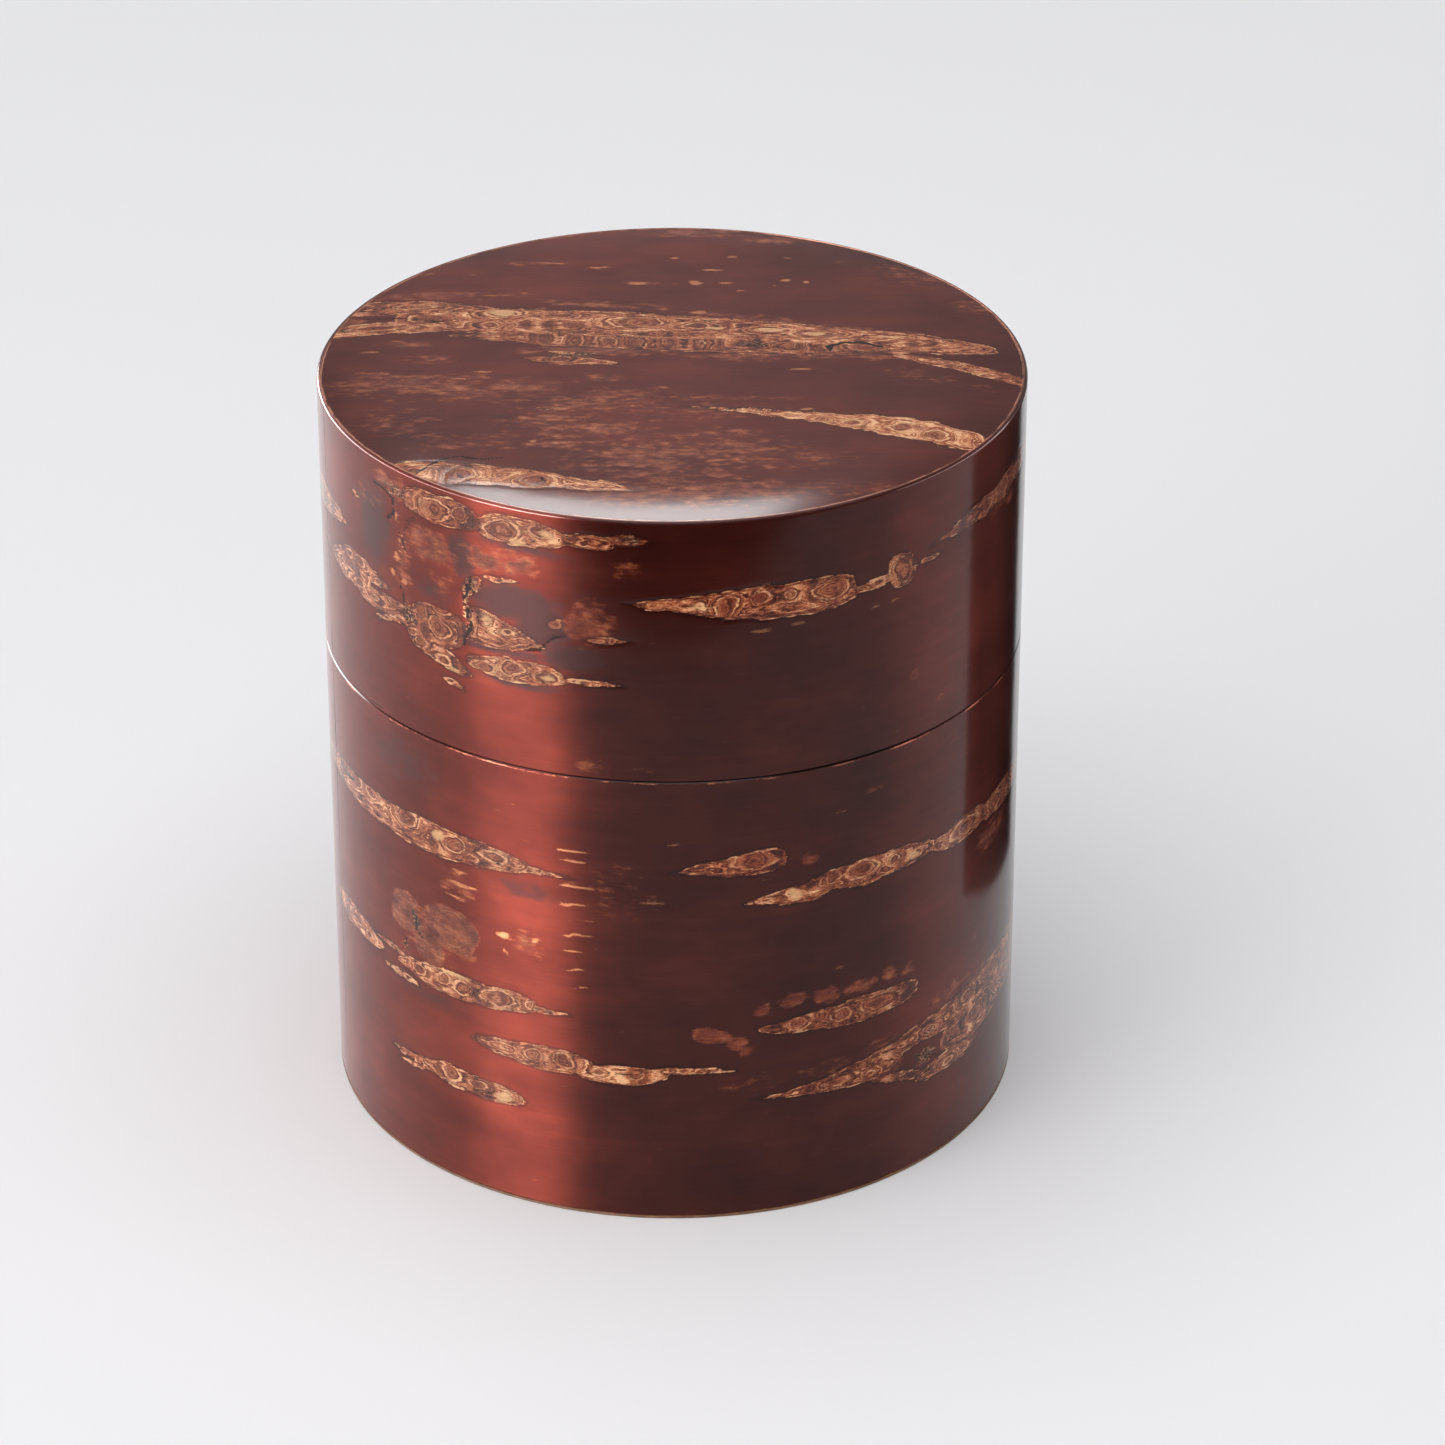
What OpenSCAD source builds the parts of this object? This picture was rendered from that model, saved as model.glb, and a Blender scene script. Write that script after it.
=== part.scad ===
// Cherry-bark tea caddy: a wrapped body with a tall neck, a plug-shaped inner lid with a knob,
// and an outer lid that slides down over the neck. The body and the outer lid are cut from one
// wrapped tube, so the bark's pattern runs on across the seam.
// +Z is up, the origin is the middle of the base, and -Y is the front.

/* [Outside size] */
// Outside diameter over the bark
outer_d = 85; // [74:1:92]
// Height of the seam between the body and the outer lid
seam_h = 60; // [40:0.5:80]
// Height of the outer lid, from the seam to the rim of its top
lid_h = 33.5; // [30:0.5:45]
// Radius of the arc that rounds the top off towards its rim
crown_r = 105; // [60:5:200]
// Slope of the top at its rim, in degrees
crown_angle = 5; // [2:0.5:8]

/* [Layers] */
// Polished bark wrapped round the outside
wrap_t = 0.5; // [0.4:0.05:0.8]
// Every other layer of bark: linings, facings and sleeve
bark_t = 0.4; // [0.3:0.05:0.5]
// Wound wood veneer of the outer lid
lid_core_t = 1.1; // [0.8:0.1:2]
// Wound wood veneer of the inner tube
inner_tube_t = 1; // [0.6:0.1:2]
// Wood boards of the base and of the outer lid's top
board_t = 3; // [2:0.5:5]

/* [Inner lid] */
// Wood board of the inner lid
inner_board_t = 1.6; // [1.2:0.1:3]
// Wound wood veneer of the hoop under the inner lid
hoop_t = 1; // [0.6:0.1:1.6]
// Depth of the hoop that plugs the mouth
hoop_h = 8; // [5:0.5:14]
// How far the inner lid's edge stays inside the neck's outside
inner_lid_inset = 0.2; // [0:0.1:0.6]

/* [Knob] */
// Height of the knob
knob_h = 7.2; // [6:0.2:9]
// Radius of the knob's foot
knob_foot_r = 6.4; // [5:0.2:8]
// Radius of the knob's waist
knob_waist_r = 4.4; // [3.6:0.2:5]
// Radius of the knob's head
knob_head_r = 7.6; // [6:0.2:9]
// Radius of the peg that holds the knob to the inner lid's board
peg_r = 1.6; // [1.2:0.1:2]
// Space between the knob and the ceiling of the outer lid
knob_headroom = 2; // [1:0.5:5]

/* [Fits] */
// Radial clearance between the neck and the outer lid
neck_fit = 0.1; // [0.05:0.01:0.2]
// Radial clearance between the hoop and the mouth
plug_fit = 0.15; // [0.05:0.01:0.3]
// Gap between the body's rim and the outer lid's rim
seam_gap = 0.1; // [0.05:0.01:0.3]
// Width of the open joint where a sheet of bark meets itself or its neighbour
bark_joint = 0.12; // [0.05:0.01:0.2]
// Where the two ends of the wrapped bark meet, in degrees left of the front
joint_angle = 75.5; // [0:0.5:180]
// Bevel on the exposed edges of the bark
edge_ease = 0.12; // [0.05:0.01:0.2]
// Rounding of the outer lid's top edge
rim_round = 0.35; // [0.15:0.05:0.35]

/* [Hidden] */
$fn = 180;

// Radii, from the outside in
outer_r = outer_d / 2;
core_r = outer_r - wrap_t;
lid_core_in = core_r - lid_core_t;
lid_in = lid_core_in - bark_t;
neck_r = lid_in - neck_fit;
inner_tube_r = neck_r - bark_t;
inner_tube_in = inner_tube_r - inner_tube_t;
mouth_r = inner_tube_in - bark_t;
plug_r = mouth_r - plug_fit;
hoop_r = plug_r - bark_t;
hoop_in = hoop_r - hoop_t;
hoop_lining_in = hoop_in - bark_t;
inner_lid_r = neck_r - inner_lid_inset;
inner_board_r = inner_lid_r - bark_t;

// Heights, from the table up
base_top = bark_t + board_t;
floor_top = base_top + bark_t;
lid_bottom = seam_h + seam_gap;
rim_top = seam_h + lid_h;
lid_board_top = rim_top - wrap_t;
lid_board_bottom = lid_board_top - board_t;
ceiling = lid_board_bottom - bark_t;
inner_lid_top = ceiling - knob_headroom - knob_h;
inner_board_top = inner_lid_top - bark_t;
inner_board_bottom = inner_board_top - inner_board_t;
neck_top = inner_board_bottom - bark_t;
hoop_bottom = neck_top - hoop_h;

// The crown of the top: flat in the middle, then an arc down to the rim
top_disc_r = core_r - bark_joint / 2;
crown_flat_r = top_disc_r - crown_r * sin(crown_angle);
crown_top = rim_top + crown_r * (1 - cos(crown_angle));
crown_steps = 8;

// The knob's outline: a hollow foot, then a swelling head with a rounded edge
knob_waist_h = knob_h * 0.38;
knob_round = knob_h * 0.2;
knob_steps = 36;
peg_top = inner_lid_top + knob_h * 0.8;

BARK = "#5a302c";
BARK_DARK = "#43231f";
BARK_EDGE = "#b0785a";
VENEER = "#c79a6b";
BOARD = "#b98a5c";
BAMBOO = "#d8bd84";

// A plain tube between two heights
module tube(bottom, top, r_in, r_out) {
    translate([0, 0, bottom])
        rotate_extrude()
            translate([r_in, 0])
                square([r_out - r_in, top - bottom]);
}

// A plain disc between two heights, with a round hole if hole_r isn't 0
module disc(bottom, top, r, hole_r = 0) {
    tube(bottom, top, hole_r, r);
}

// Points along an arc: its centre, its radius, its first and last angle, and how many steps
function arc(x, y, r, from, to, steps) =
    [for (i = [0:steps]) let (a = from + (to - from) * i / steps) [x + r * cos(a), y + r * sin(a)]];

// The narrow open joint that runs up a wrapped sheet of bark, cut out of its children
module with_joint(bottom, top) {
    difference() {
        children();
        rotate([0, 0, -90 - joint_angle])
            translate([core_r - 1, -bark_joint / 2, bottom - 1])
                cube([wrap_t + 2, bark_joint, top - bottom + 2]);
    }
}

// Body: base, wrapped tube, and the inner tube that stands up as the neck

module base_bark_disc() {
    color(BARK_EDGE)
        rotate_extrude()
            polygon([[0, 0], [outer_r - edge_ease, 0], [outer_r, edge_ease],
                [outer_r, bark_t], [0, bark_t]]);
}

module base_board() {
    color(BOARD) disc(bark_t, base_top, neck_r);
}

module body_core_tube() {
    color(VENEER) tube(bark_t, seam_h, neck_r, core_r);
}

module body_bark_wrap() {
    color(BARK)
        with_joint(bark_t, seam_h)
            rotate_extrude()
                polygon([[core_r, bark_t], [outer_r, bark_t], [outer_r, seam_h - edge_ease],
                    [outer_r - edge_ease, seam_h], [core_r, seam_h]]);
}

module inner_tube_core() {
    color(VENEER) tube(base_top, neck_top, inner_tube_in, inner_tube_r);
}

module inner_tube_lining() {
    color(BARK_DARK) tube(floor_top, neck_top, mouth_r, inner_tube_in);
}

module neck_bark_sleeve() {
    color(BARK_DARK)
        rotate_extrude()
            polygon([[inner_tube_r, base_top], [neck_r, base_top], [neck_r, neck_top - edge_ease],
                [neck_r - edge_ease, neck_top], [inner_tube_r, neck_top]]);
}

module floor_bark_disc() {
    color(BARK_DARK) disc(base_top, floor_top, inner_tube_in);
}

// Outer lid

module lid_core_tube() {
    color(VENEER) tube(lid_bottom, lid_board_top, lid_core_in, core_r);
}

module lid_bark_wrap() {
    color(BARK)
        with_joint(lid_bottom, rim_top)
            rotate_extrude()
                polygon(concat(
                    [[core_r, lid_bottom], [outer_r - edge_ease, lid_bottom],
                        [outer_r, lid_bottom + edge_ease]],
                    arc(outer_r - rim_round, rim_top - rim_round, rim_round, 0, 90, 4),
                    [[core_r, rim_top]]));
}

module lid_lining() {
    color(BARK_DARK) tube(lid_bottom, ceiling, lid_in, lid_core_in);
}

module lid_board() {
    color(BOARD) disc(lid_board_bottom, lid_board_top, lid_core_in);
}

module lid_top_bark() {
    color(BARK)
        rotate_extrude()
            polygon(concat(
                [[0, lid_board_top], [top_disc_r, lid_board_top]],
                arc(crown_flat_r, crown_top - crown_r, crown_r, 90 - crown_angle, 90, crown_steps),
                [[0, crown_top]]));
}

module lid_ceiling_bark() {
    color(BARK_DARK) disc(ceiling, lid_board_bottom, lid_core_in);
}

// Inner lid: a faced disc that rests on the neck, with a hoop that plugs the mouth

module inner_lid_board() {
    color(BOARD) disc(inner_board_bottom, inner_board_top, inner_board_r, peg_r);
}

module inner_lid_top_bark() {
    color(BARK)
        rotate_extrude()
            polygon([[peg_r, inner_board_top], [inner_lid_r, inner_board_top],
                [inner_lid_r, inner_lid_top - edge_ease], [inner_lid_r - edge_ease, inner_lid_top],
                [peg_r, inner_lid_top]]);
}

module inner_lid_bottom_bark() {
    color(BARK_DARK) disc(neck_top, inner_board_bottom, inner_board_r);
}

module inner_lid_edge_band() {
    color(BARK_DARK) tube(neck_top, inner_board_top, inner_board_r, inner_lid_r);
}

module inner_lid_hoop() {
    color(VENEER) tube(hoop_bottom, neck_top, hoop_in, hoop_r);
}

module inner_lid_hoop_bark() {
    color(BARK_DARK)
        rotate_extrude()
            polygon([[hoop_r, hoop_bottom], [plug_r - edge_ease, hoop_bottom],
                [plug_r, hoop_bottom + edge_ease], [plug_r, neck_top], [hoop_r, neck_top]]);
}

module inner_lid_hoop_lining() {
    color(BARK_DARK) tube(hoop_bottom, neck_top, hoop_lining_in, hoop_in);
}

// Knob: a block of bark glued up in layers and turned to shape, on a peg

function knob_flank_r(h) = h < knob_waist_h
    ? knob_waist_r + (knob_foot_r - knob_waist_r) * pow(1 - h / knob_waist_h, 2)
    : knob_waist_r + (knob_head_r - knob_waist_r)
        * sin(90 * min(1, (h - knob_waist_h) / (knob_h - knob_round - knob_waist_h)));

function knob_r(h) = h < knob_h - knob_round
    ? knob_flank_r(h)
    : knob_head_r - knob_round + sqrt(max(0, pow(knob_round, 2) - pow(h - knob_h + knob_round, 2)));

module knob() {
    color(BARK)
        translate([0, 0, inner_lid_top])
            difference() {
                rotate_extrude()
                    polygon(concat(
                        [[0, 0]],
                        [for (i = [0:knob_steps]) let (h = knob_h * i / knob_steps) [knob_r(h), h]],
                        [[0, knob_h]]));
                translate([0, 0, -1]) cylinder(r = peg_r, h = peg_top - inner_lid_top + 1);
            }
}

module knob_peg() {
    color(BAMBOO) disc(inner_board_bottom, peg_top, peg_r);
}

base_bark_disc();
base_board();
body_core_tube();
body_bark_wrap();
inner_tube_core();
inner_tube_lining();
neck_bark_sleeve();
floor_bark_disc();
lid_core_tube();
lid_bark_wrap();
lid_lining();
lid_board();
lid_top_bark();
lid_ceiling_bark();
inner_lid_board();
inner_lid_top_bark();
inner_lid_bottom_bark();
inner_lid_edge_band();
inner_lid_hoop();
inner_lid_hoop_bark();
inner_lid_hoop_lining();
knob();
knob_peg();
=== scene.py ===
"""Looks of the cherry-bark tea caddy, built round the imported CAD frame."""

import math
from collections import namedtuple

import bpy
import numpy as np
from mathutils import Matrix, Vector


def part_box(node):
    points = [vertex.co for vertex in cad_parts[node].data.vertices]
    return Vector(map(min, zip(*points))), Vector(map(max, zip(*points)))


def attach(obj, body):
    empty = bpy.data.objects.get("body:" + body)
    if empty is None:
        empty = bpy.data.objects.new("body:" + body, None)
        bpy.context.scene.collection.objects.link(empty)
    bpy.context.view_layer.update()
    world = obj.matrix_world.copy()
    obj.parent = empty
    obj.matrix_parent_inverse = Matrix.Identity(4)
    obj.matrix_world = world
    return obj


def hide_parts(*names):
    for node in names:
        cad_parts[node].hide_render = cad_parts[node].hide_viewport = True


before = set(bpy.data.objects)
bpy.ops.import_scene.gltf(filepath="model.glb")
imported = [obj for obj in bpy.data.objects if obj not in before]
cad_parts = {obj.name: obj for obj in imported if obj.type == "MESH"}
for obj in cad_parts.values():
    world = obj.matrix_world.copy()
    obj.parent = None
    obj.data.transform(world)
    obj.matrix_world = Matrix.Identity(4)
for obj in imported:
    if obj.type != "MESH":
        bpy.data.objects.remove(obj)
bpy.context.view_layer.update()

MM = 0.001


def span(node):
    """Outer radius, bottom and top of a round CAD node, in millimetres."""
    low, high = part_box(node)
    return high.x / MM, low.z / MM, high.z / MM


OUTER_R, BODY_BOTTOM, SEAM_Z = span("body_bark_wrap")
CORE_R = span("body_core_tube")[0]
LID_BOTTOM, RIM_Z = span("lid_bark_wrap")[1:]
TOP_R, TOP_UNDER, CROWN_Z = span("lid_top_bark")
JOINT_AZ = -75.5  # where the wrapped bark's two ends meet, in degrees from the front
JOINT_HALF = 0.06  # half the width of that open joint, in degrees
CROWN_R = 105  # radius of the curve that rolls the top's bark off to its rim
EDGE_EASE = 0.12  # how far a cut edge of bark is eased
RIM_ROUND = 0.35  # radius of the lid's upper edge
CRACK_DEPTH = 0.05

FRONT_FROM = -82  # where the markings seen in front begin, in degrees
BACK_FROM, BACK_TO = 90, 272  # the strip round the back where markings are grown
# Seeds of the wobble in each sheet's markings, and of the markings that are grown
SIDE_SEED, TOP_SEED, NECK_SEED, INNER_LID_SEED = 11, 31, 41, 51
BACK_GROWTH, NECK_GROWTH, INNER_LID_GROWTH = 7, 21, 57


# Camera, floor and light ---------------------------------------------------------------------


def add_camera():
    """The camera stands in front of the caddy and looks down on it, aimed at its middle."""
    data = bpy.data.cameras.new("camera")
    data.lens = 138
    data.sensor_width = 36
    data.clip_end = 20
    camera = bpy.data.objects.new("camera", data)
    camera.location = (0, -0.604, 0.3686)
    aim = Vector((0.006, 0, 0.0452))
    camera.rotation_euler = (aim - camera.location).to_track_quat("-Z", "Y").to_euler()
    bpy.context.scene.collection.objects.link(camera)
    bpy.context.scene.camera = camera


def add_softbox(name, azimuth, elevation, distance, size, power, gloss_only=False):
    """A light that faces the caddy. Azimuth 0 is the camera's side, and positive is to the right."""
    data = bpy.data.lights.new(name, "AREA")
    data.shape = "RECTANGLE"
    data.size, data.size_y = size
    data.energy = power
    light = bpy.data.objects.new(name, data)
    a, e = math.radians(azimuth), math.radians(elevation)
    way = Vector((math.sin(a) * math.cos(e), -math.cos(a) * math.cos(e), math.sin(e)))
    aim = Vector((0, 0, 0.05))
    light.location = aim + distance * way
    light.rotation_euler = (aim - light.location).to_track_quat("-Z", "Y").to_euler()
    light.visible_camera = False
    light.visible_diffuse = not gloss_only
    bpy.context.scene.collection.objects.link(light)
    return light


def keep_off_flats(lights):
    """Keeps the low side lights off the flat tops, which would mirror them whole in views from across."""
    flats = bpy.data.collections.new("flat_tops")
    for name in ("lid_top", "inner_lid_bark"):
        flats.objects.link(bpy.data.objects[name])
    for entry in flats.collection_objects:
        entry.light_linking.link_state = "EXCLUDE"
    for light in lights:
        light.light_linking.receiver_collection = flats


def add_lights():
    """The key light and its sheen, sheens for the sides, a glow from behind the top, and a light above."""
    keep_off_flats([
        add_softbox("key", -48, 12, 1.1, (0.60, 0.24), 4.3),
        add_softbox("key_sheen", -49, 12, 1.1, (0.56, 0.24), 44.5, gloss_only=True),
        add_softbox("left_sheen", -86, 14, 1.1, (0.76, 0.30), 19.0, gloss_only=True),
        add_softbox("fill_left", -130, 14.5, 1.2, (1.1, 0.40), 30.0, gloss_only=True),
        add_softbox("fill_right", 100, 13, 1.2, (1.2, 0.35), 10.0, gloss_only=True),
    ])
    add_softbox("back", 182, 38, 1.5, (0.24, 0.20), 1.75, gloss_only=True)
    add_softbox("back_glow", 180, 52, 1.5, (0.8, 0.4), 2.3, gloss_only=True)
    add_softbox("overhead", -35, 80, 1.6, (2.0, 2.0), 25.5)


def add_world(colour, strength):
    world = bpy.data.worlds.new("studio")
    world.use_nodes = True
    world.node_tree.nodes["Background"].inputs["Color"].default_value = (*colour, 1)
    world.node_tree.nodes["Background"].inputs["Strength"].default_value = strength
    bpy.context.scene.world = world


def matte_board(name, corners, scale, one, other):
    """A matte board through four corners, in two shades of a colour that noise mixes."""
    mesh = bpy.data.meshes.new(name)
    mesh.from_pydata(corners, [], [(0, 1, 2, 3)])
    board = bpy.data.objects.new(name, mesh)
    bpy.context.scene.collection.objects.link(board)
    t = Tree(name)
    shade = t.noise(t.node("TexCoord", {}).outputs["Object"], (scale, scale, scale), 2)
    t.finish(Base_Color=t.mix(shade, one, other), Roughness=0.9, Specular_IOR_Level=0.0)
    mesh.materials.append(t.material)
    return board


def add_floor():
    far = 9.0
    corners = [(-far, -far, 0), (far, -far, 0), (far, far, 0), (-far, far, 0)]
    floor = matte_board("floor", corners, 3.0, (0.80, 0.80, 0.815), (0.82, 0.82, 0.83))


def add_dark_card(name, corners):
    """A dark card that only the gloss sees. One in front keeps the far floor out of the polished bark, and
    one on the right stands for a dark neighbour."""
    corners = [Vector(corner) * MM for corner in corners]
    card = matte_board(name, corners, 8.0, (0.002, 0.001, 0.001), (0.004, 0.002, 0.002))
    card.visible_camera = card.visible_diffuse = card.visible_shadow = False


# Node trees ----------------------------------------------------------------------------------


class Tree:
    """A material's node tree, with short calls that make a node and link its inputs."""

    def __init__(self, name):
        self.material = bpy.data.materials.new(name)
        self.material.use_nodes = True
        self.tree = self.material.node_tree
        self.shader = self.tree.nodes["Principled BSDF"]

    def put(self, socket, value):
        if isinstance(value, bpy.types.NodeSocket):
            self.tree.links.new(value, socket)
        elif isinstance(value, tuple) and socket.type == "RGBA":
            socket.default_value = (*value, 1)
        else:
            socket.default_value = value

    def node(self, kind, inputs, **settings):
        made = self.tree.nodes.new("ShaderNode" + kind)
        for name, value in settings.items():
            setattr(made, name, value)
        for key, value in inputs.items():
            self.put(made.inputs[key], value)
        return made

    def math(self, operation, *values):
        return self.node("Math", dict(enumerate(values)), operation=operation).outputs[0]

    def times(self, value, *others):
        for other in others:
            value = self.math("MULTIPLY", value, other)
        return value

    def total(self, *terms):
        """The sum of numbers, and of (share, number) pairs."""
        parts = [self.times(term[1], term[0]) if isinstance(term, tuple) else term for term in terms]
        value = parts[0]
        for part in parts[1:]:
            value = self.math("ADD", value, part)
        return value

    def rest(self, value):
        """What value leaves of 1."""
        return self.math("SUBTRACT", 1, value)

    def away(self, value, centre):
        """How far value is from centre, on either side."""
        return self.math("ABSOLUTE", self.math("SUBTRACT", value, centre))

    def step(self, value, low, high, out_low=0.0, out_high=1.0):
        """A smooth step: out_low below low, out_high above high."""
        inputs = {"Value": value, "From Min": low, "From Max": high, "To Min": out_low, "To Max": out_high}
        return self.node("MapRange", inputs, interpolation_type="SMOOTHSTEP").outputs["Result"]

    def mix(self, share, one, other):
        """The colour one where share is 0, and other where it is 1."""
        made = self.node("Mix", {}, data_type="RGBA")
        self.put(made.inputs["Factor"], share)
        self.put(made.inputs[6], one)
        self.put(made.inputs[7], other)
        return made.outputs[2]

    def ramp(self, value, *stops):
        """Colours along value: each stop is a place from 0 to 1 and a colour."""
        made = self.node("ValToRGB", {"Fac": value})
        elements = made.color_ramp.elements
        while len(elements) < len(stops):
            elements.new(0.5)
        for element, (place, colour) in zip(elements, stops):
            element.position = place
            element.color = (*colour, 1)
        return made.outputs["Color"]

    def vector(self, x, y):
        return self.node("CombineXYZ", {0: x, 1: y}).outputs[0]

    def parts(self, vector):
        return self.node("SeparateXYZ", {0: vector}).outputs[:3]

    def scaled(self, vector, scale):
        return self.node("VectorMath", {0: vector, 1: scale}, operation="MULTIPLY").outputs[0]

    def noise(self, vector, scale, detail=3.0, roughness=0.55, shift=0.0):
        """Noise from 0 to 1, with its own number of waves a unit along each axis."""
        ends = {0: self.scaled(vector, scale), 1: (shift, shift * 0.7, shift * 1.3)}
        moved = self.node("VectorMath", ends, operation="ADD").outputs[0]
        inputs = {"Vector": moved, "Scale": 1.0, "Detail": detail, "Roughness": roughness}
        return self.node("TexNoise", inputs).outputs["Fac"]

    def centred(self, vector, scale, detail, shift, roughness=0.55):
        """The same noise, from -0.5 to 0.5."""
        return self.math("SUBTRACT", self.noise(vector, scale, detail, roughness, shift), 0.5)

    def attribute(self, name):
        """The three numbers of a vector that each vertex holds."""
        found = self.node("Attribute", {}, attribute_name=name, attribute_type="GEOMETRY")
        return self.parts(found.outputs["Vector"])

    def millimetres(self):
        """A place on the piece in millimetres, and its three parts."""
        place = self.scaled(self.node("TexCoord", {}).outputs["Object"], (1000, 1000, 1000))
        return place, *self.parts(place)

    def turn(self, x, y):
        """The angle round the axis from the front, in radians."""
        return self.math("ARCTAN2", x, self.times(y, -1))

    def out(self, x, y):
        """The distance from the axis."""
        return self.math("SQRT", self.total(self.times(x, x), self.times(y, y)))

    def rolled(self, radius):
        """Place on a sheet rolled round the axis: millimetres round it, and up. Its ends meet at the back."""
        _, x, y, z = self.millimetres()
        return self.vector(self.times(self.turn(x, y), radius), z)

    def bump(self, height, distance, strength=1.0):
        made = self.node("Bump", {"Height": height, "Distance": distance, "Strength": strength})
        return made.outputs["Normal"]

    def finish(self, **inputs):
        for name, value in inputs.items():
            self.put(self.shader.inputs[name.replace("_", " ")], value)
        return self.material


# Bark patterns: what each vertex knows of the lenticels near it ------------------------------

# A spindle is one lenticel: a long corky lens between two tips, with oval cells in it. Places are
# (across, up) in millimetres. left and right say how pointed each tip is, from 0.2 (blunt) to 1.3.
Spindle = namedtuple("Spindle", "start end height left right tone cells bow")
# A patch is a soft stain: its middle, half length, half height, strength and lean
Patch = namedtuple("Patch", "middle length height strength lean", defaults=(0.0,))
# A crack is a dark broken line through its points, with a half width and how strong it is
Crack = namedtuple("Crack", "points width depth")


def value_noise(u, v, seed):
    """Smooth noise from -1 to 1, one cell a unit."""
    table = np.random.default_rng(seed).uniform(-1, 1, (256, 256))
    iu, iv = np.floor(u).astype(int), np.floor(v).astype(int)
    fu, fv = u - iu, v - iv
    fu, fv = fu * fu * (3 - 2 * fu), fv * fv * (3 - 2 * fv)
    corner = [[table[(iu + i) % 256, (iv + j) % 256] for j in (0, 1)] for i in (0, 1)]
    low = corner[0][0] * (1 - fu) + corner[1][0] * fu
    high = corner[0][1] * (1 - fu) + corner[1][1] * fu
    return low * (1 - fv) + high * fv


def layered(u, v, seed, *layers):
    """A sum of noises, each with its own seed. A layer is its strength, and its waves a mm across and up."""
    return sum(size * value_noise(u * fu, v * fv, seed + i) for i, (size, fu, fv) in enumerate(layers))


def spindle_width(t, spindle):
    """The spindle's width at a share t of its length, where 1 is its widest."""
    a, b = spindle.left, spindle.right
    peak = a / (a + b)
    return (np.clip(t, 0, 1) ** a * np.clip(1 - t, 0, 1) ** b) / (peak**a * (1 - peak) ** b)


def spindle_middle(t, spindle):
    """The height of the spindle's middle line at a share t of its length."""
    v0, v1 = spindle.start[1], spindle.end[1]
    return v0 + (v1 - v0) * t + spindle.bow * 4 * t * (1 - t)


def spindle_cells(spindle, rng):
    """The oval cells along a spindle, each as the place of its middle, half length and half height."""
    if spindle.cells:
        return spindle.cells
    u0, u1 = spindle.start[0], spindle.end[0]
    cells, u = [], u0 + (u1 - u0) * 0.16
    while u < u1 - (u1 - u0) * 0.14:
        t = (u - u0) / (u1 - u0)
        room = spindle.height / 2 * spindle_width(t, spindle)
        half = room * rng.uniform(0.45, 0.8)
        long = half * rng.uniform(1.1, 2.4)
        middle = spindle_middle(t, spindle) + rng.uniform(-0.25, 0.25) * room
        cells.append((u + long, middle, long, half))
        u += long * 2 + rng.uniform(0.1, 1.2)
    return cells


def spindle_field(x, y, spindle, cells):
    """At each place, how far it is inside the spindle's outline, its signed distance to the nearest ring or
    outline, and how deep in a cell it is."""
    (u0, _), (u1, _) = spindle.start, spindle.end
    t = (x - u0) / (u1 - u0)
    inside = spindle.height / 2 * spindle_width(t, spindle) - np.abs(y - spindle_middle(t, spindle))
    inside = np.minimum(inside, np.minimum(x - u0, u1 - x) * 0.8)
    nearest = -np.abs(inside)
    core = np.zeros(len(x))
    for cu, cv, ca, cb in cells:
        long, high = np.abs(x - cu) / (ca * 1.15), np.abs(y - cv) / cb
        ring = (1 - (long**1.5 + high**1.9) ** 0.6) * min(ca, cb)
        closer = (np.abs(ring) < np.abs(nearest)) | (ring > 0)
        nearest = np.where(closer, ring, nearest)
        core = np.maximum(core, np.clip(ring / min(ca, cb), 0, 1))
    return inside, nearest, core


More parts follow.
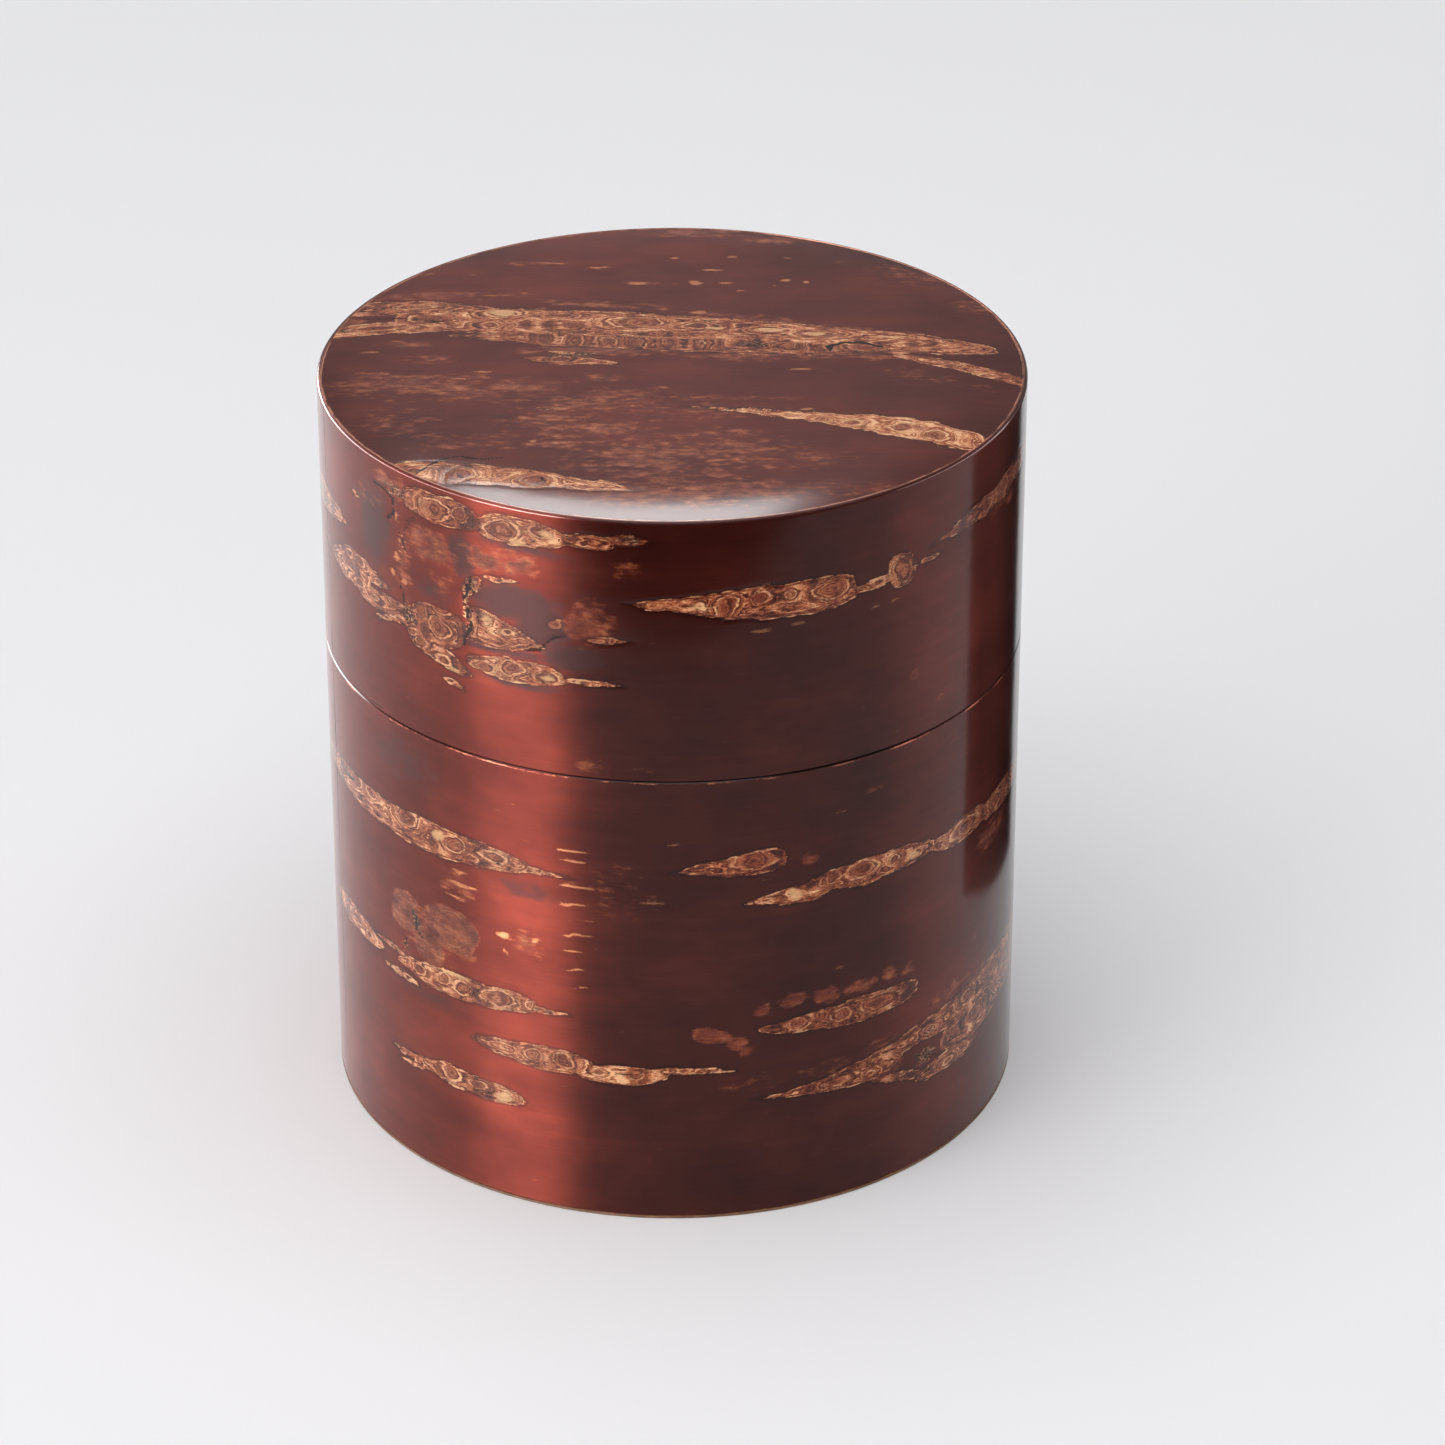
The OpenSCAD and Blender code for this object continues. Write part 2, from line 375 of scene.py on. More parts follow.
def bark_fields(u, v, spindles, patches, flecks, cracks, rough, seed, dull=()):
    """What each vertex knows, as four vectors. bark_lines: how far it is inside a lenticel's outline, its
    distance to the nearest ring or outline (above 0 in a cell), and how deep in a cell it is. bark_tones: the
    lenticel's tone, and the strengths of stain and fleck. bark_place: its place, and the strength of crack.
    bark_wear: how rough and pitted it is, and how dull."""
    uw = u + layered(u, v, seed + 1, (0.5, 0.4, 0.6), (0.18, 1.3, 1.9))
    vw = v + layered(u, v, seed + 3, (0.26, 0.3, 0.45), (0.13, 1.1, 1.5))
    none = np.zeros(u.shape)
    edge, line, core, tone = none - 2, none - 2, none.copy(), none.copy()
    rng = np.random.default_rng(seed)
    for spindle in spindles:
        (u0, v0), (u1, v1) = spindle.start, spindle.end
        reach = spindle.height + abs(v1 - v0) + abs(spindle.bow) + 2
        cells = spindle_cells(spindle, rng)
        near = np.flatnonzero((uw > u0 - 2) & (uw < u1 + 2) & (np.abs(vw - (v0 + v1) / 2) < reach))
        if not len(near):
            continue
        inside, nearest, in_core = spindle_field(uw[near], vw[near], spindle, cells)
        over = inside > edge[near]
        hit = near[over]
        edge[hit], line[hit], core[hit], tone[hit] = inside[over], nearest[over], in_core[over], spindle.tone
    ragged = 1 + layered(u, v, seed + 5, (0.5, 0.35, 0.9), (0.4, 1.1, 2.2))
    stain = soft_patches(uw, vw, patches) * ragged
    crack = none.copy()
    for c in cracks:
        crack = np.maximum(crack, c.depth * np.clip(1.6 - line_distance(uw, vw, c.points) / c.width, 0, 1))
    wear, dulled, fleck = (soft_patches(uw, vw, kind) for kind in (rough, dull, flecks))
    return {
        "bark_lines": np.stack([np.clip(edge, -2, 3), np.clip(line, -2, 2), core], -1),
        "bark_tones": np.stack([tone, np.clip(stain, 0, 1), np.clip(fleck, 0, 1)], -1),
        "bark_place": np.stack([u, v, crack], -1),
        "bark_wear": np.stack([wear, dulled, none], -1),
    }


def soft_patches(u, v, patches):
    """The strongest of several soft ovals at each point."""
    strength = np.zeros(u.shape)
    for p in patches:
        du = u - p.middle[0]
        dv = v - p.middle[1] - p.lean * du
        away = np.hypot(du / p.length, dv / p.height)
        strength = np.maximum(strength, p.strength * np.clip(1.35 - away, 0, 1) ** 0.7)
    return strength


def line_distance(u, v, points):
    """Distance to a broken line."""
    best = np.full(u.shape, 1e3)
    for (u0, v0), (u1, v1) in zip(points, points[1:]):
        du, dv = u1 - u0, v1 - v0
        t = np.clip(((u - u0) * du + (v - v0) * dv) / (du * du + dv * dv), 0, 1)
        best = np.minimum(best, np.hypot(u - u0 - t * du, v - v0 - t * dv))
    return best


def relief(u, v, fields, seed, crack_depth):
    """How far the polished bark lies under its outermost skin, in millimetres."""
    edge, line, _ = fields["bark_lines"].T
    crack = fields["bark_place"][:, 2]
    swell = 0.021 + layered(u, v, seed + 8, (0.016, 0.05, 0.10), (0.005, 0.2, 0.5))
    groove = 0.018 * np.clip(1 - np.abs(line) / 0.3, 0, 1) * (edge > -0.3)
    return swell + groove + crack_depth * np.clip(crack, 0, 1)


# Meshes --------------------------------------------------------------------------------------


def make_mesh(name, points, quads, caps):
    """A smooth mesh object from points in millimetres, an array of quads, and a few larger faces."""
    sizes = [4] * len(quads) + [len(cap) for cap in caps]
    corners = np.concatenate([quads.ravel(), *caps]).astype(np.int32)
    mesh = bpy.data.meshes.new(name)
    mesh.vertices.add(len(points))
    mesh.vertices.foreach_set("co", (points * MM).astype(np.float32).ravel())
    mesh.loops.add(len(corners))
    mesh.loops.foreach_set("vertex_index", corners)
    mesh.polygons.add(len(sizes))
    mesh.polygons.foreach_set("loop_start", np.concatenate([[0], np.cumsum(sizes)[:-1]]).astype(np.int32))
    mesh.update(calc_edges=True)
    mesh.validate()
    mesh.polygons.foreach_set("use_smooth", [True] * len(mesh.polygons))
    made = bpy.data.objects.new(name, mesh)
    bpy.context.scene.collection.objects.link(made)
    return made


def add_attributes(piece, fields):
    """Stores each field, three numbers a vertex, on the mesh."""
    for name, values in fields.items():
        attribute = piece.data.attributes.new(name, "FLOAT_VECTOR", "POINT")
        attribute.data.foreach_set("vector", np.asarray(values, np.float32).ravel())


def sharpen(piece, angle=35):
    """Shades the piece smooth, apart from edges sharper than angle degrees."""
    piece.data.set_sharp_from_angle(angle=math.radians(angle))


def even(low, high, step):
    """Evenly spaced numbers from low to high, no further apart than step."""
    return np.linspace(low, high, max(2, math.ceil((high - low) / step) + 1))


def upright(radius, heights):
    """The profile's points at these heights on a straight wall."""
    return np.stack([np.full_like(heights, radius), heights], -1)


def round_corner(x, z, radius, first, last, steps):
    angles = np.radians(np.linspace(first, last, steps))
    return np.stack([x + radius * np.cos(angles), z + radius * np.sin(angles)], -1)


def sheet_tube(name, profile, outside, azimuths, fields_of, seed):
    """Sweeps a closed profile of (radius, height) points round the axis, from one end of the sheet to the
    other, and caps both ends. outside marks the points of the polished face, which the relief is cut into."""
    columns = np.radians(azimuths)
    radius, height = profile.T
    rows, count = len(profile), len(columns)
    u = np.repeat(columns * radius[outside].max(), rows)
    v = np.tile(height, count)
    fields = fields_of(u, v)
    sunk = relief(u, v, fields, seed, CRACK_DEPTH) * np.tile(outside, count)
    r = np.tile(radius, count) - sunk
    a = np.repeat(columns, rows)
    points = np.stack([r * np.sin(a), -r * np.cos(a), v], -1)
    i, j = np.meshgrid(np.arange(count - 1), np.arange(rows), indexing="ij")
    near, far, following = i * rows, (i + 1) * rows, (j + 1) % rows
    quads = np.stack([near + j, far + j, far + following, near + following], -1).reshape(-1, 4)
    piece = make_mesh(name, points, quads, (np.arange(rows)[::-1], (count - 1) * rows + np.arange(rows)))
    add_attributes(piece, fields)
    sharpen(piece)
    return piece


def wrap_profile(inner, outer, bottom, top, step, top_round):
    """Profile of a wrapped sheet, up its outside and down its inside, and which points are its face."""
    lower = np.array([[inner, bottom], [outer - EDGE_EASE, bottom], [outer, bottom + EDGE_EASE]])
    heights = even(bottom + EDGE_EASE, top - (RIM_ROUND if top_round else EDGE_EASE), step)[1:]
    if top_round:
        upper = round_corner(outer - RIM_ROUND, top - RIM_ROUND, RIM_ROUND, 0, 90, 7)[1:]
    else:
        upper = np.array([[outer - EDGE_EASE, top]])
    inside = np.array([[inner, top], [inner, (top + bottom) / 2]])
    profile = np.concatenate([lower, upright(outer, heights), upper, inside])
    outside = np.zeros(len(profile), bool)
    outside[1 : -len(inside)] = True
    return profile, outside


def disc_places(radius, n):
    """The places of a square grid of n by n cells that is pulled out to fill a disc."""
    s = np.linspace(-1, 1, n + 1)
    a, b = np.meshgrid(s, s, indexing="ij")
    wide = np.abs(a) > np.abs(b)
    with np.errstate(divide="ignore", invalid="ignore"):
        turn = np.where(wide, np.pi / 4 * b / a, np.pi / 2 - np.pi / 4 * a / b)
    r, turn = radius * np.where(wide, a, b), np.nan_to_num(turn)
    return (r * np.cos(turn)).ravel(), (r * np.sin(turn)).ravel()


def bark_disc(name, radius, bottom, top_at, step, fields_of, seed):
    """A round sheet of bark: a fine grid over its top, whose height top_at gives, and a plain underside."""
    n = math.ceil(2 * radius / step)
    x, y = disc_places(radius, n)
    fields = fields_of(x, y)
    z = top_at(np.hypot(x, y)) - relief(x, y, fields, seed, 0.0)
    grid = np.arange((n + 1) ** 2).reshape(n + 1, n + 1)
    quads = np.stack([grid[:-1, :-1], grid[1:, :-1], grid[1:, 1:], grid[:-1, 1:]], -1).reshape(-1, 4)
    rim = np.concatenate([grid[:-1, 0], grid[-1, :-1], grid[:0:-1, -1], grid[0, :0:-1]])
    under = len(x) + np.arange(len(rim))
    following = np.roll(np.arange(len(rim)), -1)
    walls = np.stack([rim[following], rim, under, under[following]], -1)
    lower = np.stack([x[rim], y[rim], np.full(len(rim), bottom)], -1)
    points = np.concatenate([np.stack([x, y, z], -1), lower])
    fields = {kind: np.concatenate([field, field[rim]]) for kind, field in fields.items()}
    piece = make_mesh(name, points, np.concatenate([quads, walls]), (under[::-1],))
    add_attributes(piece, fields)
    sharpen(piece)
    add_grain_map(piece)
    return piece


def add_grain_map(piece):
    """A flat map that tells the shader which way the grain runs."""
    layer = piece.data.uv_layers.new(name="grain")
    corners = np.empty(len(piece.data.loops), np.int32)
    piece.data.loops.foreach_get("vertex_index", corners)
    places = np.empty(len(piece.data.vertices) * 3, np.float32)
    piece.data.vertices.foreach_get("co", places)
    layer.data.foreach_set("uv", (places.reshape(-1, 3)[corners, :2] * 10 + 0.5).ravel())


# The bark's own markings ---------------------------------------------------------------------

# The lenticels in front: azimuth and height of the two tips, height, how pointed each tip is, tone from 0
# (red) to 1 (cream), and the cells as (azimuth, height, half length, half height). Degrees and millimetres.
FRONT = [
    # The lid, from its rim down
    (-47.5, 90.6, -31.8, 90.6, 3.7, 0.3, 0.25, 0.42, ((-40.3, 90.4, 2.7, 1.25), (-35.1, 90.7, 1.3, 1))),
    (-32.2, 90.4, -16.5, 90.6, 3.8, 0.25, 0.4, 0.75, ((-27.5, 90.3, 2.4, 1.35), (-21.5, 90.9, 1.3, 0.7))),
    (-18, 90.6, -9.6, 90.5, 1.9, 0.4, 0.3, 0.35, ((-15.8, 90.7, 0.7, 0.35),)),
    (-11, 91, -3.5, 91.2, 1.8, 0.4, 0.5, 0.12, ()),
    (-31.5, 83.8, -24.5, 84.1, 0.7, 0.6, 0.8, 0.9, ()),
    (-84, 81.4, -64.5, 82, 3.2, 0.4, 0.8, 0.8, ((-74, 81.7, 1, 0.4),)),
    (-62, 86.9, -59.2, 86.8, 0.6, 0.6, 0.6, 0.5, ()),
    (-72, 76, -56, 76.6, 3.6, 0.5, 0.4, 0.6, ((-64, 76.9, 0.9, 0.4), (-60.4, 75.5, 1.4, 0.5))),
    (-66, 78.2, -50.5, 77.4, 2.2, 0.5, 0.7, 0.36, ((-60, 78.2, 1.2, 0.5), (-54, 77.4, 0.8, 0.4))),
    (-61, 74.6, -46, 75.4, 2.6, 0.5, 0.5, 0.3, ((-55.4, 75, 0.9, 0.4), (-49.4, 76, 1.1, 0.5))),
    (-55.2, 72.8, -46.8, 74.2, 0.9, 0.6, 0.5, 0.55, ()),
    (-45.5, 75.4, -34.4, 75.4, 5.4, 0.3, 0.3, 0.24,
     ((-40, 75.2, 1.9, 1.25), (-38.4, 78, 1.5, 0.65), (-43.4, 76.6, 0.9, 0.8))),
    (-47.8, 73.4, -33.6, 70.6, 2.8, 0.5, 0.5, 0.5, ((-38.8, 71.2, 1.3, 0.6), (-43.8, 72.4, 1, 0.5))),
    (-38.6, 68.8, -34.6, 68.2, 0.9, 0.5, 0.8, 0.3, ()),
    (-35.6, 81.6, -31.6, 82.9, 2.4, 0.4, 0.4, 0.8, ()),
    (-34.4, 77.6, -20.2, 76.2, 4.7, 0.2, 0.95, 0.55, ((-30.4, 78.2, 0.5, 0.4), (-26.4, 77.2, 0.8, 0.3))),
    (-20, 79.4, -16.9, 80, 1.5, 0.35, 0.35, 0.2, ((-18.4, 79.7, 0.8, 0.45),)),
    (-13.5, 78.2, -6.5, 78.2, 0.9, 0.5, 1, 0.25, ()),
    (-34, 72.5, -17.2, 72.8, 2.95, 0.35, 0.3, 0.72,
     ((-31.2, 72.2, 1.5, 0.8), (-26.4, 72.8, 1.8, 0.9), (-20.4, 72.6, 1.6, 1))),
    (-17.8, 72.7, -7.5, 72.6, 0.8, 0.6, 1, 0.85, ()),
    (-8, 83.2, 30, 82.5, 4.6, 1, 0.35, 0.5,
     ((8.1, 82.6, 1.3, 1.4), (13.4, 83.3, 1.3, 0.8), (18.6, 83.4, 0.9, 0.6), (25.2, 82.9, 2.3, 1.3))),
    (29, 81.7, 36.5, 82.3, 1.3, 0.7, 0.4, 0.7, ((33.6, 82.1, 1, 0.4),)),
    (35.8, 82.8, 41.1, 82.9, 4.2, 0.3, 0.3, 0.32, ((38.6, 82.8, 1.2, 1.5),)),
    (42, 82.9, 46.8, 83.1, 1.1, 0.5, 0.9, 0.25, ()),
    (44, 84.7, 84, 86.4, 3, 0.9, 0.5, 0.22,
     ((55, 85.2, 1, 0.4), (60.5, 85.4, 1.6, 0.7), (65.5, 85.8, 2, 0.8), (72.5, 85.8, 2.6, 1))),
    # The body, from the seam down
    (-1, 48.1, 18, 49.1, 3.1, 1.1, 0.3, 0.4, ((12.6, 49.1, 3, 1.05),)),
    (-82, 46.2, -23.5, 46.7, 4.2, 0.6, 0.45, 0.62,
     ((-72, 46.9, 1.4, 0.5), (-65, 47.4, 2, 0.8), (-59, 47.6, 1.4, 0.7), (-49, 47.6, 2.5, 1.3),
      (-38, 46.9, 1.8, 1.1), (-30.5, 46.9, 2.2, 0.6))),
    (-27, 46.4, -16, 46.2, 0.9, 0.5, 1, 0.8, ()),
    (11, 43.4, 27, 43.8, 2.3, 0.8, 0.5, 0.8, ((14.5, 43.4, 1, 0.3),)),
    (12, 46.8, 16.5, 45.8, 0.6, 0.7, 0.7, 0.12, ()),
    (21, 44.6, 48, 44.2, 3.5, 0.5, 0.5, 0.6,
     ((25.6, 44.8, 1.3, 0.7), (31.4, 44.8, 2.8, 1.1), (38.2, 44.6, 0.8, 0.5))),
    (45.5, 43.9, 61.5, 43.8, 3.4, 0.7, 0.3, 0.55, ((55.2, 43.8, 3.4, 1.1),)),
    (60, 43.6, 84, 43, 3.2, 0.4, 0.5, 0.4, ((66, 43.6, 1.8, 0.8), (72.5, 43.1, 2.2, 0.8))),
    (-54, 34.4, -45.2, 34.6, 6, 0.35, 0.35, 0.08, ((-50.4, 34.4, 1.9, 1.6),)),
    (-45.5, 35.2, -33, 34.9, 6.6, 0.3, 0.3, 0.08, ((-38.6, 35.2, 3, 2.3),)),
    (-48, 31.6, -40.4, 31, 5.2, 0.3, 0.3, 0.1, ((-44.2, 30.2, 1.6, 1),)),
    (-76.5, 27.4, -56, 27.2, 3.1, 0.4, 0.6, 0.8, ((-67, 27.4, 2.4, 0.6), (-61, 27.2, 1, 0.4))),
    (-58.5, 28.6, -49.5, 28, 0.7, 0.7, 0.6, 0.3, ()),
    (-57, 25.5, -46.5, 25.2, 0.9, 0.6, 0.7, 0.6, ()),
    (-52, 27.1, -23.2, 27.9, 3.3, 0.45, 0.3, 0.78,
     ((-46.2, 27.4, 1.5, 0.7), (-41.2, 27.8, 1.2, 0.6), (-36.8, 27.6, 1.5, 0.8), (-30, 27.8, 2.9, 1.1))),
    (-26, 27.7, -17, 27.5, 0.9, 0.5, 1, 0.6, ()),
    (2.5, 26, 9.5, 25, 3.2, 0.35, 0.5, 0.05, ()),
    (13, 25.7, 43.2, 25.8, 3.4, 0.6, 0.3, 0.42,
     ((20.3, 26, 2.1, 1.1), (27.4, 25.9, 1.8, 0.9), (35.4, 25.8, 3.5, 1.2))),
    (-35.2, 21.1, -13.4, 20.9, 3.3, 0.45, 0.25, 0.68, ((-23.6, 21.2, 1.3, 0.75), (-18.4, 21.1, 1.6, 0.9))),
    (-17, 19.9, -1.5, 20.2, 2.7, 0.5, 0.5, 1.1, ((-12.5, 20.1, 1.2, 0.5), (-6.6, 20.1, 1.4, 0.5))),
    (-4, 21.1, 10, 20.7, 1.1, 0.4, 1.1, 0.6, ()),
    (-47, 14.6, -25, 14.3, 3, 0.5, 0.35, 0.72, ((-39.6, 14.7, 1.8, 0.9), (-34.4, 14.6, 1.5, 0.65))),
    (-54.5, 14.2, -44, 14.8, 0.9, 0.9, 0.5, 0.5, ()),
    (-53, 13.2, -43.5, 13.7, 0.9, 0.9, 0.5, 0.8, ()),
    (12, 16.3, 41, 16.6, 2.7, 1.3, 0.4, 0.5, ((27, 16.5, 1.5, 0.45), (33.4, 16.2, 0.8, 0.4))),
    (26, 17.8, 84, 20.4, 4.2, 1, 0.4, 0.38,
     ((46.5, 18.4, 0.7, 0.4), (56.8, 19.6, 1.1, 0.6), (66.5, 20.2, 2, 0.9))),
    (36.4, 16.1, 41.4, 15.6, 1.8, 0.3, 0.35, 0.04, ()),
    (33, 15.3, 48, 12.2, 1.4, 0.6, 0.5, 0.35, ((40.6, 14, 0.5, 0.3),)),
    (43, 12.3, 61, 12.8, 2.7, 0.5, 0.5, 0.32, ((51.5, 12.2, 0.9, 0.4),)),
    (49.5, 15.6, 87, 17.2, 5.4, 0.35, 0.5, 0.38, ((60, 16, 1.2, 0.6), (73, 16.9, 2.8, 1.5))),
]

# Stains of the side: azimuth, height, half length, half height, strength and lean
FRONT_STAINS = [
    (-41.5, 85.4, 4.6, 2.2, 0.95), (-28, 86.3, 6.4, 1.5, 0.95), (-32, 86.8, 1.8, 1, 0.9),
    (-13, 80.2, 3.6, 2.8, 1), (-50, 91, 4, 1.6, 0.8), (-47.5, 82, 1.8, 6, 0.5),
    (-39, 82.4, 2.4, 3.6, 0.5), (-56, 88, 4, 1.6, 0.4), (-43, 33.2, 8, 3.4, 0.5),
    (-36.6, 32.2, 2.6, 0.9, 0.8), (-37.4, 41.6, 3.4, 2, 0.5), (21.5, 48.1, 1.6, 0.9, 0.95),
    (14.2, 28.4, 1.4, 0.8, 1), (19.5, 29.2, 2.2, 0.9, 0.9), (25, 29, 2.4, 1, 1),
    (31.2, 28.8, 2.8, 1, 1), (37.4, 29, 1.6, 1.1, 0.9), (41.2, 28.8, 1.4, 1, 0.9),
    (9.6, 24.2, 1.8, 0.9, 0.9), (12, 23, 1.5, 0.7, 0.9), (66, 39.6, 7, 2.4, 0.6), (70, 84.4, 9, 2, 0.5),
    (57, 21.6, 12, 1.4, 0.6), (-13.5, 61.3, 2.4, 0.7, 0.8), (41.5, 68.7, 1.2, 0.7, 0.6),
    (38.8, 15.9, 1.8, 0.8, 1.1), (30, 18.6, 10, 1, 0.6), (12, 18.6, 5, 1.2, 0.5), (38, 20, 6, 0.8, 0.5),
    (52, 57, 3, 1, 0.35), (48, 64, 2.4, 0.8, 0.3), (33, 55.2, 2, 0.5, 0.35), (-4, 61.8, 3, 0.5, 0.25),
    (-7, 87.4, 2.4, 1.4, 0.6), (-9, 45, 8, 4, 0.25), (-24, 36, 3, 1.6, 0.6),
]
FRONT_FLECKS = [
    (13.5, 79.2, 1.8, 0.4, 0.9), (20, 79.4, 1.6, 0.3, 0.8), (33, 79.2, 1.3, 0.25, 0.8),
    (37, 79.3, 1.2, 0.25, 0.7), (-3.2, 44, 2.4, 0.5, 0.7), (0.2, 51.8, 1.8, 0.3, 0.7),
    (26.5, 53.4, 2.6, 0.35, 0.6), (27, 32.4, 1.6, 0.35, 0.6), (60, 27, 1.5, 0.5, 0.6),
    (-16.5, 50.2, 3.6, 0.2, 1), (-16, 48.7, 3, 0.18, 0.9), (-15.5, 45.4, 3.4, 0.2, 1),
    (-16.5, 42.9, 3.4, 0.2, 1), (-15.2, 40.6, 3, 0.18, 0.9), (-15.8, 38.7, 3, 0.18, 1),
    (-15.6, 36.5, 3, 0.18, 0.9), (-16, 34, 2.6, 0.16, 0.9), (-15.6, 31.7, 2.4, 0.16, 0.8),
    (-37.5, 43.4, 3.2, 0.25, 0.9), (-36.5, 41.7, 3.4, 0.25, 0.9), (-37.6, 40, 3, 0.25, 0.8),
    (-48.6, 87.4, 0.6, 0.6, 0.8), (-48.4, 84.6, 0.7, 0.5, 0.8), (-49, 82, 0.6, 0.6, 0.8),
    (-47.6, 79.2, 0.8, 0.6, 0.9), (-49.7, 79.8, 0.7, 0.5, 0.8), (-28.4, 36.6, 1.2, 0.6, 0.8),
    (-22.8, 36.9, 0.9, 0.4, 0.8), (-28, 34.6, 0.8, 0.5, 0.7), (44, 14.1, 2, 0.3, 0.5),
    (-41.3, 47.2, 1.3, 0.7, 1), (-28.8, 14.2, 2, 0.8, 0.95), (19.3, 43.7, 1.6, 0.8, 1),
    (42.2, 44, 1.8, 0.8, 0.75), (-39, 28.8, 4.4, 0.4, 0.8), (-25, 89.2, 2, 0.6, 0.8),
    (-20, 90.8, 1.6, 0.8, 0.7), (-30.5, 78.6, 1.6, 1, 0.6), (-37, 70.6, 1.4, 0.6, 0.7),
    (-20.2, 72.6, 1.2, 0.7, 0.8), (4, 82.8, 2.4, 1.1, 0.6),
]
# Rough, pitted bark, in rows like the stains'
FRONT_ROUGH = [
    (-48, 84.5, 2, 8, 0.76), (-34.2, 79, 1.2, 4.8, 1), (-33, 82.6, 2.2, 0.9, 0.9),
    (-46.4, 75.3, 2, 2.2, 1), (-44, 72.6, 3.4, 1.2, 0.7), (-50, 90.8, 5, 1.6, 0.9),
    (-52, 77.6, 5, 0.9, 0.8), (-21.6, 76.2, 2.2, 1, 0.8), (-46.6, 33.8, 1.5, 1.8, 1.1),
    (-49.6, 29, 1.8, 2.6, 0.8), (-39, 31.8, 3, 1, 0.6), (-7, 91.2, 3.4, 1, 0.95),
    (14, 84.9, 2.4, 0.6, 0.9), (8, 81, 2, 0.6, 0.7), (37, 84, 3, 1, 0.5), (45.4, 15, 3.6, 1.6, 1),
    (58, 19.6, 8, 2.2, 0.7), (66, 16, 3.4, 2.2, 0.7), (52, 16.2, 4, 3, 0.75), (38, 14.8, 6, 1, 0.5),
    (41, 29.2, 3, 1, 0.5), (24, 45.8, 4, 0.6, 0.5), (14, 46.4, 2.2, 0.9, 0.7), (-70, 46.2, 6, 1.2, 0.6),
    (-74, 72, 6, 3, 0.4), (-76, 60.8, 4, 1.6, 0.6),
]
# Patches where the bark's skin is dark and dull, in rows like the stains'
FRONT_DULL = [
    (-25.5, 81.4, 7.5, 2.2, 1), (-20.5, 79, 4.5, 2.6, 1), (-55, 85, 4.5, 5.5, 0.75),
    (-35, 85.6, 2.4, 2.6, 0.9), (-16, 75.4, 5, 1.6, 0.9), (-28, 74.8, 8, 0.6, 0.7),
    (-25, 71, 9, 0.6, 0.6), (-41, 79.6, 4, 1.6, 0.6), (-24, 88.4, 9, 0.6, 0.6), (-50, 55, 9, 3.4, 0.5),
    (-24, 43.6, 7, 1.2, 0.45), (-44, 24.4, 10, 1.4, 0.45),
]
FRONT_CRACKS = [
    (((-54.5, 90.2), (-51.6, 90), (-49.6, 89.2), (-49.4, 88), (-51.4, 86.8)), 0.2, 1),
    (((-47.5, 84.2), (-46.4, 86.2), (-44.8, 88.2)), 0.5, 0.46),
    (((-33.6, 83.4), (-34.6, 80.6), (-34, 77.6), (-34.5, 74.2)), 0.28, 0.75),
    (((-34.8, 82.4), (-32.8, 81.4)), 0.15, 0.8),
    (((-24, 75.3), (-21, 75.8), (-19.2, 77.6), (-16.8, 78.2)), 0.15, 0.7),
    (((-48.6, 86), (-47.2, 83.5)), 0.12, 0.7),
    (((-48.2, 78.6), (-47, 76.4), (-46.4, 74.6)), 0.2, 0.7),
    (((-47.6, 35.4), (-46.4, 34.2), (-46.9, 33), (-45.9, 32.2)), 0.2, 0.8),
    (((-49.4, 30.6), (-49.9, 29.6), (-49, 29)), 0.14, 0.8),
    (((-70, 46.6), (-65.5, 47.2)), 0.14, 0.9),
    (((-75.5, 45.2), (-72.5, 44.6)), 0.2, 0.8),
    (((-57.4, 45.3), (-56.6, 45.2)), 0.2, 0.8),
    (((-31.5, 46.4), (-28.2, 46.2)), 0.12, 0.8),
    (((-52, 25.6), (-48.8, 25.4)), 0.12, 0.7),
    (((-63.5, 60.5), (-58, 60.7), (-54.5, 60.4)), 0.1, 0.8),
    (((13, 85.3), (13.4, 84.4)), 0.14, 0.8),
    (((7.6, 81), (9.2, 80.8)), 0.14, 0.8),
    (((-76, 76.4), (-72, 75.2)), 0.12, 0.6),
    (((65.4, 17.2), (64.9, 15.4), (66.2, 14.5), (68.3, 14)), 0.17, 1),
    (((43.2, 15.6), (46, 14.8), (49.2, 14.2)), 0.5, 0.5),
    (((54.6, 44), (56.4, 43.9)), 0.16, 0.6),
    (((-13, 20.8), (-10, 19.9), (-6, 20.6)), 0.12, 0.6),
]

